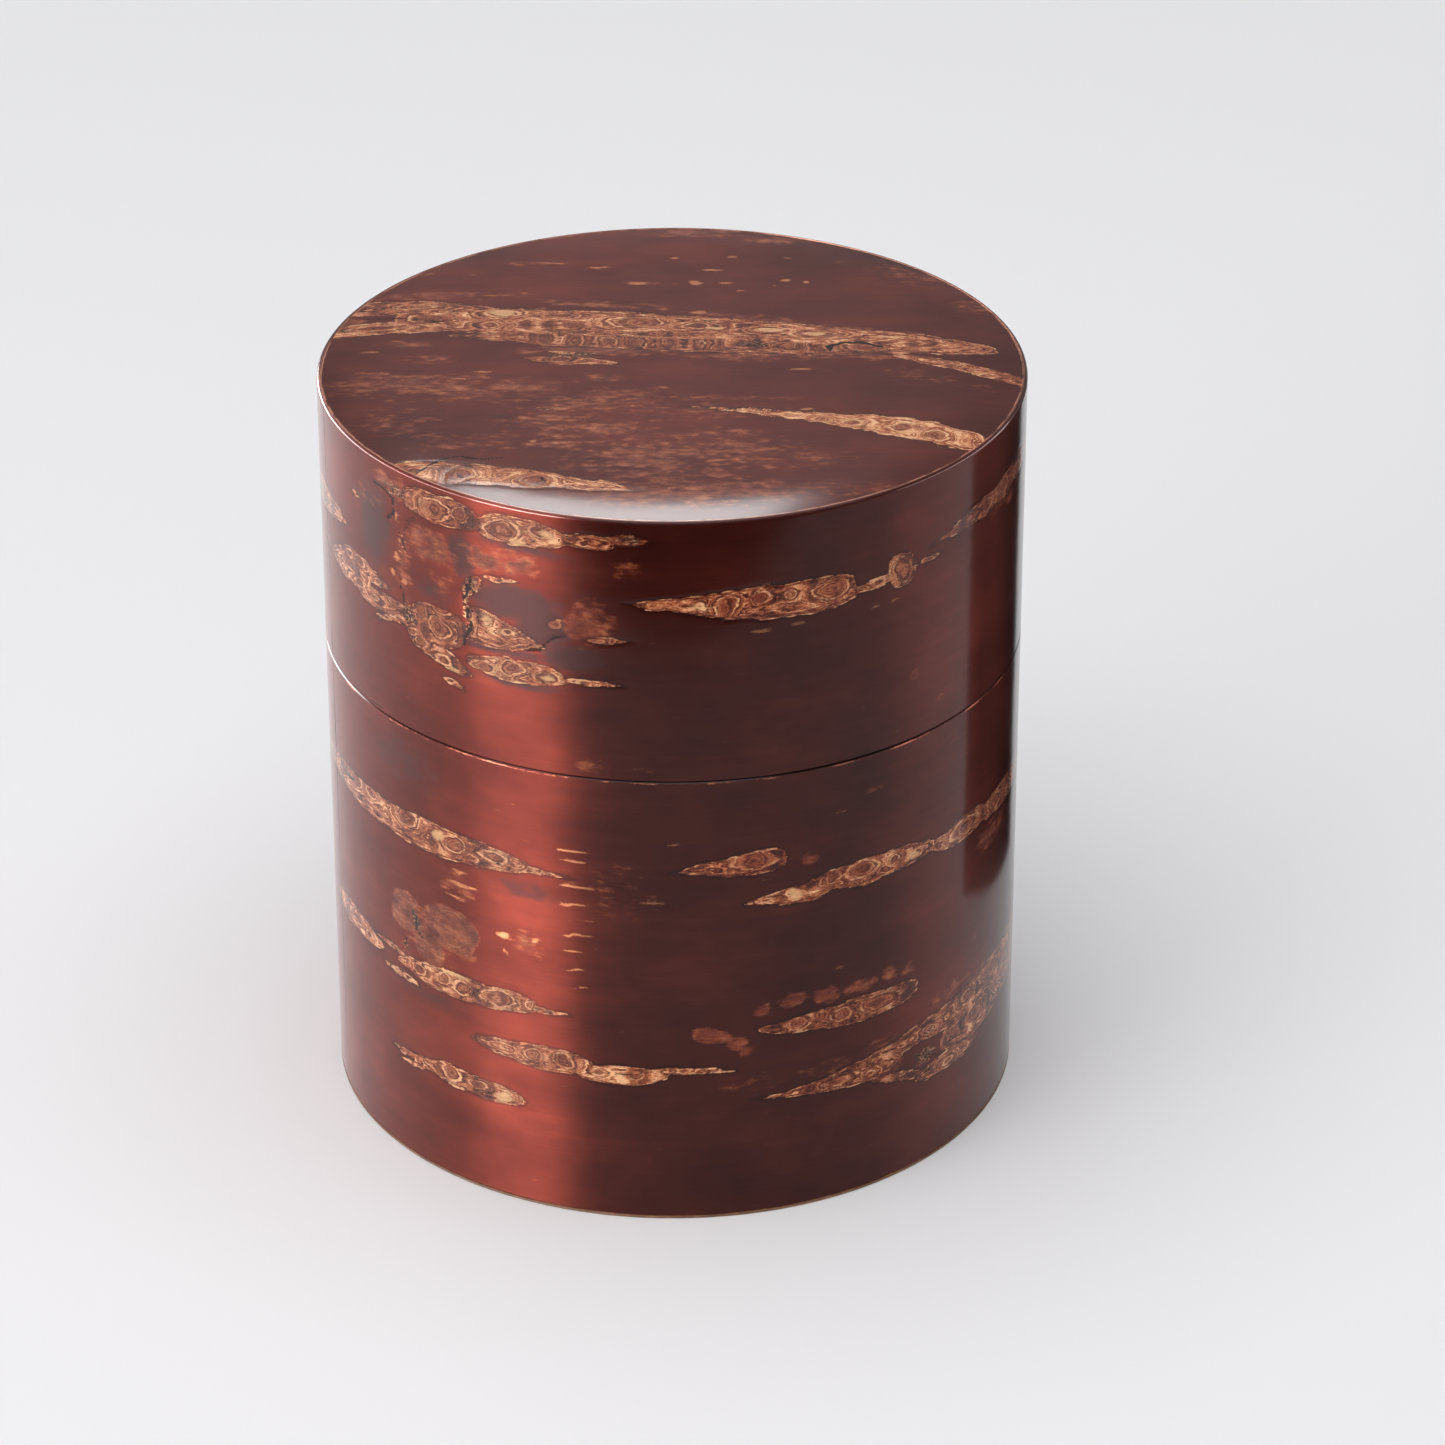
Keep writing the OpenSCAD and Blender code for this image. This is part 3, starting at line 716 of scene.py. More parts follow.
# The top, in millimetres: x to the right and y away from the front
TOP = [
    (-34, 13.9, 39, 3.6, 8.4, 0.3, 0.42, 0.6,
     ((-20.4, 14.9, 1.5, 0.8), (-22.2, 11.5, 0.9, 0.9), (-13.6, 14.2, 1, 0.6), (-4.1, 12.2, 2.5, 1.4),
      (3, 11, 1.6, 0.9), (11.6, 9.6, 1.2, 0.6), (17.8, 8.6, 1.4, 0.6), (29, 5.6, 1, 0.4))),
    (-47, 17.8, -22, 16.4, 4.6, 0.3, 0.5, 0.45, ((-31, 17.2, 1.4, 0.6),)),
    (-47, 9.8, -23, 11.8, 3.8, 0.3, 0.5, 0.7, ((-35.5, 10.9, 3.2, 0.7),)),
    (-27, 8.6, 27.5, 4.2, 5.8, 0.6, 0.35, 0.25,
     ((-15.5, 7.4, 0.5, 1.2), (-11.8, 7, 0.5, 1.3), (-8.2, 6.8, 0.5, 1.2), (-4.4, 6.6, 0.5, 1.3),
      (-0.8, 6.4, 0.5, 1.2), (3.4, 5.8, 0.5, 1.2), (14.2, 5.2, 0.6, 0.9), (23.2, 4.7, 1.8, 1.1))),
    (26, 2.4, 45, -7, 3, 0.6, 0.3, 0.6, ((33.5, -1, 1, 0.4), (38, -3.4, 1, 0.5))),
    (-17.5, 1.7, -6, 0.2, 2.4, 0.6, 0.8, 0.35, ((-13.5, 1.4, 1.2, 0.6),)),
    (-15.5, 3.8, -9, 2.4, 0.9, 0.6, 0.6, 0.5, ()),
    (4, -12.9, 36.4, -21.8, 5.8, 1.15, 0.2, 1.3,
     ((17.6, -15.8, 1, 0.7), (21, -16.8, 1.2, 0.8), (26.6, -18, 1.4, 1), (30.6, -20, 1.3, 1.4))),
    (-33, -28.2, -3.5, -34.6, 5.2, 0.3, 0.75, 0.72, ((-24.6, -30.2, 1.8, 1.6), (-15.9, -32, 1.4, 1.1))),
    (1, -12.4, 13, -12.9, 0.6, 0.8, 0.8, 0.7, ()),
]
TOP_BOWS = (1, 0, 0, 0, 0.8, 0, 0, 1.2, 0.4)  # how far each of those curves, in millimetres
TOP_STAINS = [
    (-31, -4.8, 9, 1.8, 0.85), (-22, -6.4, 8, 1.4, 0.8), (-36, -3, 3, 1, 0.6), (-16, -5, 3, 0.7, 0.6),
    (-14, -12.4, 4, 1.2, 0.75), (-11.5, -15, 5, 1.4, 0.8), (-7, -18.4, 3, 2.2, 0.85),
    (-14, -22.4, 3.4, 1.1, 0.8), (-4, -26.6, 3, 2.2, 0.9), (1, -27.8, 2, 0.7, 0.7),
    (-4.4, -30.6, 2.6, 1.2, 0.8), (7.6, -19, 3, 0.7, 0.7), (5.6, -30.8, 2.4, 0.8, 0.7),
    (-6, -10, 6, 1, 0.5), (-1, -6.8, 2.4, 0.6, 0.8), (-9, -4, 3.2, 1.2, 0.6), (-29, 1.6, 3, 1.4, 0.5),
    (-32, 6, 4, 1.2, 0.5), (3, 40, 7, 1.4, 0.6), (13, 37.8, 5, 1.4, 0.6), (30, 26, 6, 3, 0.5, -0.5),
    (37, 17, 4, 3, 0.4), (25, 2.2, 2.4, 1.4, 0.7), (10, -9.8, 7, 0.5, 0.5), (0, -25, 13, 7, 0.62),
    (2, -35, 14, 4, 0.72), (-12, -17, 9, 5, 0.54), (-8, -10, 12, 3, 0.5), (4, -13.5, 9, 2.4, 0.5),
    (-27, -6.4, 13, 4, 0.5), (-33, -16, 6, 4, 0.42), (14, -27, 8, 3, 0.42), (20, -34, 8, 2.4, 0.42),
    (-2, 24, 3, 0.6, 0.5), (-18, 30.2, 3.4, 0.5, 0.5), (-28, 20.6, 10, 1.2, 0.6),
    (-8, 17.4, 10, 1, 0.6, -0.12), (9, 13.6, 8, 0.9, 0.55, -0.22), (26, 9, 8, 0.8, 0.5, -0.3),
    (-8, 4, 10, 1.6, 0.7), (12, 2, 10, 1.4, 0.65), (-40, 14, 4, 5, 0.5), (-25, -22, 8, 3, 0.4),
    (30, -4, 8, 1.6, 0.4, -0.4),
]
TOP_FLECKS = [
    (-15, 30.2, 2.6, 0.35, 0.8), (-9, 29, 1.8, 0.45, 0.8), (0.2, 31.9, 0.7, 0.45, 0.8),
    (7.8, 31.9, 1, 0.5, 0.8), (14.6, 31.5, 1.1, 0.4, 0.7), (21, 30.4, 1.2, 0.35, 0.6),
    (5, 27.8, 1.7, 0.4, 0.9), (-4.3, 23.9, 1.5, 0.5, 0.9), (3.2, 24, 0.9, 0.8, 0.9),
    (7, 24, 1.3, 0.5, 0.7), (13.6, 24.6, 0.9, 0.5, 0.9), (16.2, 24.1, 0.6, 0.5, 0.8),
    (8.4, 21.4, 0.7, 0.3, 0.7), (12.2, 23, 0.4, 0.3, 0.8), (-30, 27.8, 1.6, 0.3, 0.6),
    (-24.6, 26.9, 1.3, 0.3, 0.6), (-36.4, 3.6, 1.3, 0.3, 0.7), (-22.6, -1.9, 1.6, 0.4, 0.7),
    (15.4, -1.5, 2.2, 0.35, 0.8), (-25, -3.9, 1.6, 0.3, 0.7), (-20.6, 15.2, 1.3, 1, 1),
    (11.8, 9.8, 2, 0.6, 0.9), (17.6, 8.6, 1.1, 0.6, 1), (26, 7.6, 3, 0.4, 0.7),
    (-38, 12.4, 3, 0.4, 0.6), (-13.4, -12.4, 1.3, 0.5, 0.9), (15.9, -12.8, 0.9, 0.3, 0.9),
    (11, -1, 1.6, 0.3, 0.4), (-12.8, 39.6, 0.6, 0.5, 0.7), (3, 15, 1.4, 0.6, 0.8),
    (-16, 16.4, 1, 0.4, 0.7), (5, 10.4, 1.4, 0.6, 0.8), (-16, -21.4, 0.6, 0.5, 0.9),
    (-13.4, -22, 0.5, 0.6, 0.9), (-4, -25.6, 0.8, 0.4, 0.8), (-1, -6.8, 1, 0.3, 0.8),
]
TOP_ROUGH = [
    (-12, 2.6, 6, 1.8, 0.85), (-15, -12.6, 2.6, 1, 0.8), (-30, 17.6, 9, 2.4, 0.72),
    (-8, 8, 14, 3, 0.72), (10, 5.4, 3, 1.2, 0.9), (20, 4.2, 3, 1.8, 0.8), (-25, -28.2, 6, 2, 0.8),
    (-15, -4.5, 2.4, 1.4, 0.6), (31, -23, 3, 1.4, 0.7), (12, -12.8, 6, 0.6, 0.6), (15, 24.2, 3, 1.2, 0.6),
    (20, 8, 10, 2.6, 0.7), (26, -18, 8, 2.4, 0.68), (-14, -31.6, 8, 2, 0.68), (-2, -27, 6, 4, 0.66),
    (-10, -15, 6, 3, 0.66),
]
TOP_CRACKS = [
    (((-38, 13.9), (-32, 13.8), (-27.5, 12.6)), 0.3, 0.5),
    (((-28.6, -28.6), (-27.4, -26.4), (-24.6, -25.4), (-22.4, -26.2), (-19.6, -26)), 0.16, 0.8),
    (((9.4, 5.2), (10.6, 5.6)), 0.5, 0.5),
    (((19.2, 3.4), (18.8, 4.9), (20.4, 5.9), (22.6, 5.8), (24.8, 4.8)), 0.26, 0.75),
    (((-15.2, -31.4), (-14.8, -32.4)), 0.2, 0.7),
    (((-24.9, -30.2), (-24.2, -30.9)), 0.3, 0.6),
]


def lenticels(rows, k=1.0, bows=()):
    """Spindles from rows as in FRONT. k is the millimetres in one unit across: 1 on the top."""
    made = []
    for i, (a0, z0, a1, z1, height, left, right, tone, cells) in enumerate(rows):
        scaled = tuple((a * k, z, da * k, dz) for a, z, da, dz in cells)
        bow = bows[i] if i < len(bows) else 0
        made.append(Spindle((a0 * k, z0), (a1 * k, z1), height, left, right, tone, scaled, bow))
    return made


def stains(rows, k=1.0):
    return [Patch((a * k, z), length * k, *others) for a, z, length, *others in rows]


def cracks(rows, k=1.0):
    return [Crack([(a * k, z) for a, z in points], width, depth) for points, width, depth in rows]


def grown_markings(seed, left, right, bottom, top, count):
    """Markings of the same kinds, grown from a seed over a strip in millimetres: lenticels, stains, flecks,
    no cracks, and rough places."""
    rng = np.random.default_rng(seed)
    grown, spots, flecks, rough = [], [], [], []
    for i in range(count):
        z = bottom + (top - bottom) * (i + rng.uniform(0.2, 0.8)) / count
        length = rng.uniform(8, 34)
        u = rng.uniform(left, right - length)
        height = min(1.2 + length * rng.uniform(0.06, 0.11), 4.4)
        rise = rng.uniform(-1.2, 1.2)
        tips = rng.uniform(0.35, 0.7), rng.uniform(0.5, 1.0)
        if rng.random() < 0.4:
            tips = tips[::-1]
        tone = rng.choice([0.1, 0.35, 0.55, 0.7, 0.8])
        end_u, end_z = u + length, z + rise
        grown.append(Spindle((u, z), (end_u, end_z), height, *tips, tone, (), rng.uniform(-0.4, 0.4)))
        if rng.random() < 0.7:
            tail = end_u + rng.uniform(4, 9), end_z + rng.uniform(-0.6, 0.6)
            grown.append(Spindle((end_u - 1.5, end_z), tail, rng.uniform(0.7, 1.3), 0.4, 1.1, tone, (), 0.0))
        if rng.random() < 0.6:
            place = u + length * rng.uniform(0.2, 0.8), z + rng.choice([-1, 1]) * height * 0.7
            spots.append(Patch(place, rng.uniform(4, 11), rng.uniform(0.9, 2.4), rng.uniform(0.5, 0.9)))
        if rng.random() < 0.6:
            place = u + length * rng.uniform(0, 1), z
            half = rng.uniform(1.5, 6)
            rough.append(Patch(place, half, height * rng.uniform(0.3, 0.6), rng.uniform(0.5, 0.9)))
    for _ in range(count * 4):
        place = rng.uniform(left, right), rng.uniform(bottom, top)
        flecks.append(Patch(place, rng.uniform(0.5, 1.8), rng.uniform(0.15, 0.45), rng.uniform(0.4, 0.8)))
    return grown, spots, flecks, [], rough


# Polished bark -------------------------------------------------------------------------------


class BarkTree(Tree):
    """A tree with what each vertex of the bark holds, and with noises that are stretched along the grain."""

    def __init__(self, name):
        super().__init__(name)
        self.edge, self.line, self.core = self.attribute("bark_lines")
        self.tone, self.stain, self.fleck = self.attribute("bark_tones")
        self.across, up, self.crack = self.attribute("bark_place")
        self.wear, self.dull, _ = self.attribute("bark_wear")
        place = self.vector(self.across, up)
        self.fray = self.centred(place, (0.30, 3.2, 1), 4, 0)
        self.swirl = self.centred(place, (0.7, 1.3, 1), 3, 7)
        self.blob = self.centred(place, (0.45, 0.7, 1), 2, 12)
        self.fine = self.centred(place, (2.4, 4.6, 1), 3, 9, 0.65)
        self.grit = self.centred(place, (4.0, 7.5, 1), 2, 33)
        self.fibre = self.centred(place, (0.20, 8.0, 1), 3, 4, 0.6)
        self.streak = self.centred(place, (0.03, 1.3, 1), 4, 15, 0.6)
        self.cloud = self.centred(place, (0.035, 0.055, 1), 3, 22)
        self.worn = self.centred(place, (0.16, 0.5, 1), 3, 30)
        self.mottle = self.centred(place, (0.11, 0.17, 1), 3, 61)


def plain_skin(t):
    """Dark red-brown in long faint streaks, and where the skin is dull."""
    shade = t.total(0.48, (0.16, t.streak), (0.45, t.cloud), (0.45, t.mottle), (0.14, t.fibre))
    plain = t.ramp(shade, (0.30, (0.034, 0.0046, 0.0032)), (0.50, (0.061, 0.0090, 0.0056)),
                   (0.72, (0.108, 0.0170, 0.0100)))
    dulled = t.step(t.total(t.dull, (0.6, t.swirl), (0.6, t.blob), (0.4, t.fray)), 0.15, 0.75)
    return t.mix(t.times(dulled, 0.7), plain, (0.044, 0.0135, 0.0125)), dulled


def stain_skin(t):
    """Where the bark is stained, and the stain's colour: from dark red to orange-brown."""
    strength = t.total(t.stain, (0.5, t.fray), (0.8, t.swirl), (0.6, t.blob), (0.15, t.fibre))
    shade = t.total(0.5, (0.8, t.swirl), (0.35, t.fray), (0.4, t.fine), (0.6, t.worn), (0.5, t.blob))
    colour = t.ramp(shade, (0.22, (0.080, 0.011, 0.006)), (0.48, (0.180, 0.034, 0.015)),
                    (0.68, (0.31, 0.080, 0.030)), (0.88, (0.48, 0.175, 0.066)))
    return t.step(strength, 0.20, 0.90, 0, 0.9), colour


def cork_skin(t, cork_level, rings, veiled, stain_colour):
    """A lenticel's fibres, which flow round its cells: their shade, and their colour from brown to cream,
    redder in the cells, with dark and pale rings. A veiled lenticel has a stain's colour."""
    wave = t.total(t.line, (0.80, t.swirl), (0.45, t.fray), (0.20, t.fine))
    flowing = t.vector(t.across, wave)
    flow = t.centred(flowing, (0.50, 3.6, 1), 3, 41, 0.65)
    strand = t.centred(flowing, (0.35, 9.0, 1), 2, 52, 0.6)
    cork = t.total(cork_level, (2.2, flow), (1.3, strand), (0.55, t.fine), (0.3, t.grit), (0.70, t.worn),
                   (0.34, t.math("SUBTRACT", t.tone, 0.5)))
    colour = t.ramp(cork, (0.06, (0.044, 0.0070, 0.0042)), (0.28, (0.160, 0.031, 0.0135)),
                    (0.48, (0.34, 0.089, 0.035)), (0.68, (0.57, 0.205, 0.088)), (0.92, (0.86, 0.48, 0.25)))
    red_shade = t.total(0.5, (1.5, flow), (1.0, strand), (0.4, t.fine), (0.4, t.swirl))
    red_cell = t.ramp(red_shade, (0.20, (0.075, 0.012, 0.0065)), (0.52, (0.22, 0.044, 0.018)),
                      (0.85, (0.47, 0.160, 0.066)))
    colour = t.mix(t.step(t.core, 0.03, 0.35, 0, 0.85), colour, red_cell)
    colour = t.mix(t.times(veiled, 0.85), colour, stain_colour)
    ring = t.math("ABSOLUTE", t.total(t.line, (0.30, t.swirl), (0.28, t.fray), (0.18, t.fine)))
    dark = t.step(t.away(ring, 0.20), 0.02, 0.11, 0.70, 0)
    dark_broken = t.step(t.total((0.5, t.fine), t.worn, (0.7, t.swirl)), -0.10, 0.10)
    colour = t.mix(t.times(dark, dark_broken, rings, t.rest(veiled)), colour, (0.038, 0.009, 0.005))
    pale = t.times(t.step(ring, 0.02, 0.115, 1, 0), t.step(t.tone, 0.05, 0.6, 0.1 * rings, 0.90 * rings))
    pale_broken = t.step(t.total((0.8, t.fine), (1.2, t.fray), (0.6, t.swirl), t.worn), -0.08, 0.20)
    return cork, t.mix(t.times(pale, pale_broken), colour, (0.76, 0.40, 0.205))


def add_lenticels(t, colour, cork_colour, ragged, rings, veiled):
    """Lenticels on the skin, with painted shade in a dark rim just outside each, worn thin in places, and
    cream where a fleck lies on one. Also where their cork is."""
    outline = t.total(t.edge, (0.65, t.fray), (0.30 * ragged, t.swirl), (0.10, t.fine),
                      (1.6 * (ragged - 1), t.blob))
    inside = t.step(t.total(outline, (-0.15, veiled)), 0.0, t.step(veiled, 0, 1, 0.09, 0.5))
    # Painted shade: a dark rim just outside each lenticel's outline.
    rim = t.times(t.step(outline, -0.40, -0.02, 0, 0.75 * rings), t.rest(inside), t.rest(veiled))
    colour = t.mix(rim, colour, (0.013, 0.0042, 0.0033))
    thin = t.step(t.total(t.worn, (0.6, t.fray), (0.3, t.fine), (0.25, t.edge)), -0.22, 0.02, 0.25, 1.0)
    corky = t.times(inside, thin)
    colour = t.mix(corky, colour, cork_colour)
    cream = t.step(t.total(t.fleck, (0.7, t.fray), (0.5, t.fine)), 0.35, 0.75, 0, 0.9)
    return t.mix(t.times(corky, cream, 0.8), colour, (0.76, 0.43, 0.20)), corky


def add_top_joint(t, colour):
    """The glued joint round the top, a pale broken line."""
    _, x, y, z = t.millimetres()
    waver = t.centred(t.vector(x, y), (0.35, 0.35, 1), 3, 0)
    off_joint = t.away(t.total(t.out(x, y), (0.30, waver)), TOP_R + 0.02)
    joint = t.times(t.step(off_joint, 0.05, 0.18, 0.8, 0), t.step(z, RIM_Z - 0.25, RIM_Z - 0.12))
    return t.mix(t.times(joint, t.step(waver, -0.14, 0.02, 0.35, 1)), colour, (0.50, 0.22, 0.15))


def paint_seam_glint_and_shade(t, colour):
    """The seam in painted light: broken red painted glints on the cut edge under it, and painted shade in the
    groove above them.
    """
    _, x, y, z = t.millimetres()
    outer = t.step(t.out(x, y), OUTER_R - 0.8, OUTER_R - 0.6)
    above = t.math("SUBTRACT", z, SEAM_Z)
    # Painted highlight: a broken red glint on the body's cut edge, where the key light would catch it.
    painted_glint = t.times(t.step(above, -0.34, -0.24), t.step(above, -0.14, -0.08, 1, 0))
    broken = t.step(t.total(t.worn, (0.5, t.fray), (0.3, t.fine)), -0.02, 0.14, 0, 0.75)
    colour = t.mix(t.times(painted_glint, broken, outer), colour, (0.62, 0.19, 0.115))
    # Painted shade: the groove between lid and body, darkened in its colour.
    groove = t.times(t.step(above, -0.12, -0.07), t.step(above, 0.18, 0.26, 1, 0))
    return t.mix(t.times(groove, outer), colour, (0.022, 0.0030, 0.0020))


def add_rough_places(t, colour):
    """Pale crumbs of cork, and dark pits. Also where the pits are."""
    crumbs = t.step(t.total(t.wear, (-1.6, t.fine), (0.9, t.fray)), 0.85, 1.10, 0, 0.8)
    crumb = t.ramp(t.total(0.5, (1.2, t.swirl)), (0.3, (0.22, 0.075, 0.035)), (0.7, (0.46, 0.25, 0.13)))
    pitted = t.step(t.total(t.wear, (1.6, t.fine), (0.5, t.swirl)), 0.80, 1.03, 0, 0.85)
    return t.mix(pitted, t.mix(crumbs, colour, crumb), (0.014, 0.0045, 0.0035)), pitted


def polished_bark(name, straight=False, cork_level=0.40, ragged=1.0, rings=1.0):
    """Polished cherry bark. Its lenticels, stains and cracks come from the vertices, and its fibres, frayed
    edges and fine rings from noise stretched along the grain. It also carries painted light: painted shade
    round the lenticels, and a painted glint and painted shade at the seam. straight is for a flat sheet;
    cork_level makes the lenticels paler, ragged makes their edges rougher, and rings is how strong the lines
    in them and the painted shade round them are."""
    t = BarkTree(name)
    veiled = t.step(t.tone, 0.05, 0.30, 1, 0)
    plain, dulled = plain_skin(t)
    stained, stain_colour = stain_skin(t)
    flecked = t.step(t.total(t.fleck, (0.9, t.fray), (0.7, t.fine)), 0.40, 0.80, 0, 0.75)
    colour = t.mix(flecked, t.mix(stained, plain, stain_colour), (0.34, 0.130, 0.055))
    cork, cork_colour = cork_skin(t, cork_level, rings, veiled, stain_colour)
    colour, corky = add_lenticels(t, colour, cork_colour, ragged, rings, veiled)
    # The seam brings painted light: a painted glint, and painted shade in its groove.
    colour, pitted = add_rough_places(t, paint_seam_glint_and_shade(t, add_top_joint(t, colour)))
    open_crack = t.step(t.total(t.crack, (0.5, t.fine)), 0.35, 0.6)
    colour = t.mix(open_crack, colour, (0.016, 0.0045, 0.003))
    height = t.total((0.8, t.fibre), (0.8, t.times(corky, cork)), (-1.0, open_crack), (-0.7, pitted))
    soft = t.math("MAXIMUM", corky, t.times(stained, 1.05))
    soft = t.math("MAXIMUM", soft, t.times(dulled, 0.72))
    if straight:
        grain = t.node("Tangent", {}, direction_type="UV_MAP", uv_map="grain").outputs[0]
        t.finish(Tangent=grain)
    metal = t.times(0.72, t.rest(soft))
    rough = t.total(0.42, (0.06, corky), (0.3, open_crack))
    return t.finish(Base_Color=colour, Metallic=metal, Roughness=rough, Normal=t.bump(height, 0.00003, 0.5),
                    Anisotropic=0.95, Anisotropic_Rotation=0.25, Specular_IOR_Level=0.1,
                    Specular_Tint=(0.82, 0.69, 0.68), Coat_Weight=1.0, Coat_Roughness=0.13, Coat_IOR=1.29)


# Other materials -----------------------------------------------------------------------------


def plain_bark(name, seed, radius=None):
    """Unpolished bark inside the caddy: rolled to a radius, or flat. Its few narrow lenticels are thresholds
    of a stretched noise, and their rings are its contours."""
    t = Tree(name)
    place = t.rolled(radius) if radius else t.millimetres()[0]
    streak = t.noise(place, (0.04, 1.3, 0.04), 4, 0.6, seed + 1)
    fibre = t.noise(place, (0.25, 7.0, 0.25), 3, 0.6, seed + 2)
    cloud = t.noise(place, (0.05, 0.08, 0.05), 3, 0.5, seed + 3)
    lens = t.noise(place, (0.045, 0.40, 0.045), 1, 0.4, seed + 4)
    fine = t.centred(place, (1.6, 4.0, 1.6), 3, seed + 5, 0.6)
    shade = t.total((0.4, streak), (0.6, cloud), (0.3, t.math("SUBTRACT", fibre, 0.5)))
    plain = t.ramp(shade, (0.30, (0.050, 0.012, 0.007)), (0.50, (0.095, 0.024, 0.012)),
                   (0.70, (0.150, 0.045, 0.022)))
    depth = t.total(lens, (0.05, fine))
    inside = t.step(depth, 0.655, 0.668)
    rings = t.math("SINE", t.times(depth, 190))
    cork = t.total((0.22, rings), (1.1, fine), 0.5)
    cork_colour = t.ramp(cork, (0.15, (0.07, 0.018, 0.009)), (0.45, (0.22, 0.075, 0.028)),
                         (0.75, (0.38, 0.17, 0.065)), (0.95, (0.56, 0.33, 0.15)))
    # Painted shade: a darker ring just outside each lenticel.
    near = t.times(t.step(depth, 0.630, 0.655), t.rest(inside))
    colour = t.mix(t.times(near, 0.6), plain, (0.022, 0.007, 0.005))
    colour = t.mix(t.times(inside, 0.85), colour, cork_colour)
    normal = t.bump(t.total((0.7, fibre), t.times(inside, cork)), 0.00006, 0.7)
    return t.finish(Base_Color=colour, Roughness=t.total(0.42, (0.16, fibre)), Normal=normal,
                    Specular_IOR_Level=0.35, Coat_Weight=0.35, Coat_Roughness=0.25, Coat_IOR=1.4)


def cut_bark(name):
    """Bark seen on its cut edge: thin pale and rusty layers."""
    t = Tree(name)
    place = t.millimetres()[0]
    layers = t.noise(place, (0.25, 0.25, 14), 3, 0.6)
    mottle = t.noise(place, (0.6, 0.6, 2.0), 3, 0.6, 8)
    colour = t.ramp(t.total((0.6, layers), (0.4, mottle)), (0.30, (0.07, 0.024, 0.012)),
                    (0.50, (0.20, 0.085, 0.038)), (0.68, (0.40, 0.21, 0.10)))
    normal = t.bump(layers, 0.00005, 0.6)
    return t.finish(Base_Color=colour, Roughness=0.6, Normal=normal, Specular_IOR_Level=0.3)


def wound_veneer(name, radius):
    """Wood veneer wound round a former: grain round the tube on its faces, and its turns on the cut ends."""
    veneer = 0.36
    t = Tree(name)
    _, x, y, _ = t.millimetres()
    place = t.rolled(radius)
    turns = t.math("DIVIDE", t.out(x, y), veneer)
    share = t.math("DIVIDE", t.turn(x, y), 2 * math.pi)
    winding = t.math("FRACT", t.total(turns, share, (0.12, t.centred(place, (0.12, 0.2, 1), 3, 0))))
    end = t.step(t.math("ABSOLUTE", t.parts(t.node("TexCoord", {}).outputs["Normal"])[2]), 0.6, 0.8)
    glue = t.times(end, t.step(t.away(winding, 0.5), 0.36, 0.48))
    grain = t.noise(place, (0.10, 3.5, 1), 4, 0.6, 3)
    pores = t.noise(place, (0.7, 11.0, 1), 2, 0.6, 12)
    colour = t.ramp(grain, (0.30, (0.42, 0.235, 0.115)), (0.50, (0.60, 0.385, 0.205)),
                    (0.70, (0.72, 0.50, 0.29)))
    colour = t.mix(t.step(pores, 0.60, 0.70, 0, 0.45), colour, (0.25, 0.12, 0.055))
    colour = t.mix(t.times(glue, 0.75), colour, (0.16, 0.07, 0.03))
    normal = t.bump(t.total((0.5, grain), (-0.8, glue)), 0.00008, 0.6)
    return t.finish(Base_Color=colour, Roughness=0.55, Normal=normal, Specular_IOR_Level=0.35)


def board_wood(name, seed):
    """Thin sawn board, with straight grain from side to side."""
    t = Tree(name)
    place, _, y, _ = t.millimetres()
    bend = t.centred(place, (0.012, 0.03, 0.1), 2, seed, 0.5)
    lines = t.math("SINE", t.times(t.total(y, (6.0, bend)), 3.4))
    value = t.total((0.12, lines), t.noise(place, (0.08, 3.0, 0.8), 4, 0.6, seed + 3))
    colour = t.ramp(value, (0.28, (0.40, 0.215, 0.105)), (0.52, (0.60, 0.38, 0.20)),
                    (0.75, (0.73, 0.51, 0.30)))
    normal = t.bump(value, 0.00006, 0.6)
    return t.finish(Base_Color=colour, Roughness=0.55, Normal=normal, Specular_IOR_Level=0.35)


def laminated_bark(name):
    """The knob: sheets of bark glued up in layers, turned and polished, so that they show as stripes."""
    t = Tree(name)
    place, _, _, z = t.millimetres()
    layer = t.times(t.total(z, (0.5, t.centred(place, (0.16, 0.16, 0.3), 3, 0))), 2.3)
    number = t.math("FLOOR", layer)
    tint = t.node("TexWhiteNoise", {"W": number}, noise_dimensions="1D").outputs["Value"]
    fine = t.noise(place, (0.9, 0.9, 6.0), 3, 0.6, 5)
    colour = t.ramp(t.total((0.6, tint), (0.4, fine)), (0.15, (0.040, 0.009, 0.006)),
                    (0.45, (0.105, 0.022, 0.012)), (0.65, (0.21, 0.055, 0.024)), (0.85, (0.42, 0.17, 0.07)))
    glue = t.step(t.away(t.math("FRACT", layer), 0.5), 0.40, 0.48)
    colour = t.mix(t.times(glue, 0.8), colour, (0.018, 0.006, 0.004))
    normal = t.bump(t.total((0.4, fine), (-0.6, glue)), 0.00004, 0.6)
    return t.finish(Base_Color=colour, Roughness=0.36, Normal=normal, Coat_Weight=0.8, Coat_Roughness=0.10,
                    Coat_IOR=1.4)


def bamboo(name):
    """The peg's bamboo, with fine upright fibres."""
    t = Tree(name)
    fibres = t.noise(t.millimetres()[0], (9, 9, 0.35), 3, 0.6)
    colour = t.ramp(fibres, (0.35, (0.40, 0.25, 0.10)), (0.55, (0.66, 0.47, 0.23)),
                    (0.70, (0.76, 0.60, 0.34)))
    return t.finish(Base_Color=colour, Roughness=0.45, Normal=t.bump(fibres, 0.00004, 0.6))


# Pieces --------------------------------------------------------------------------------------


def degree(radius):
    """Millimetres round a cylinder in one degree."""
    return math.radians(radius)


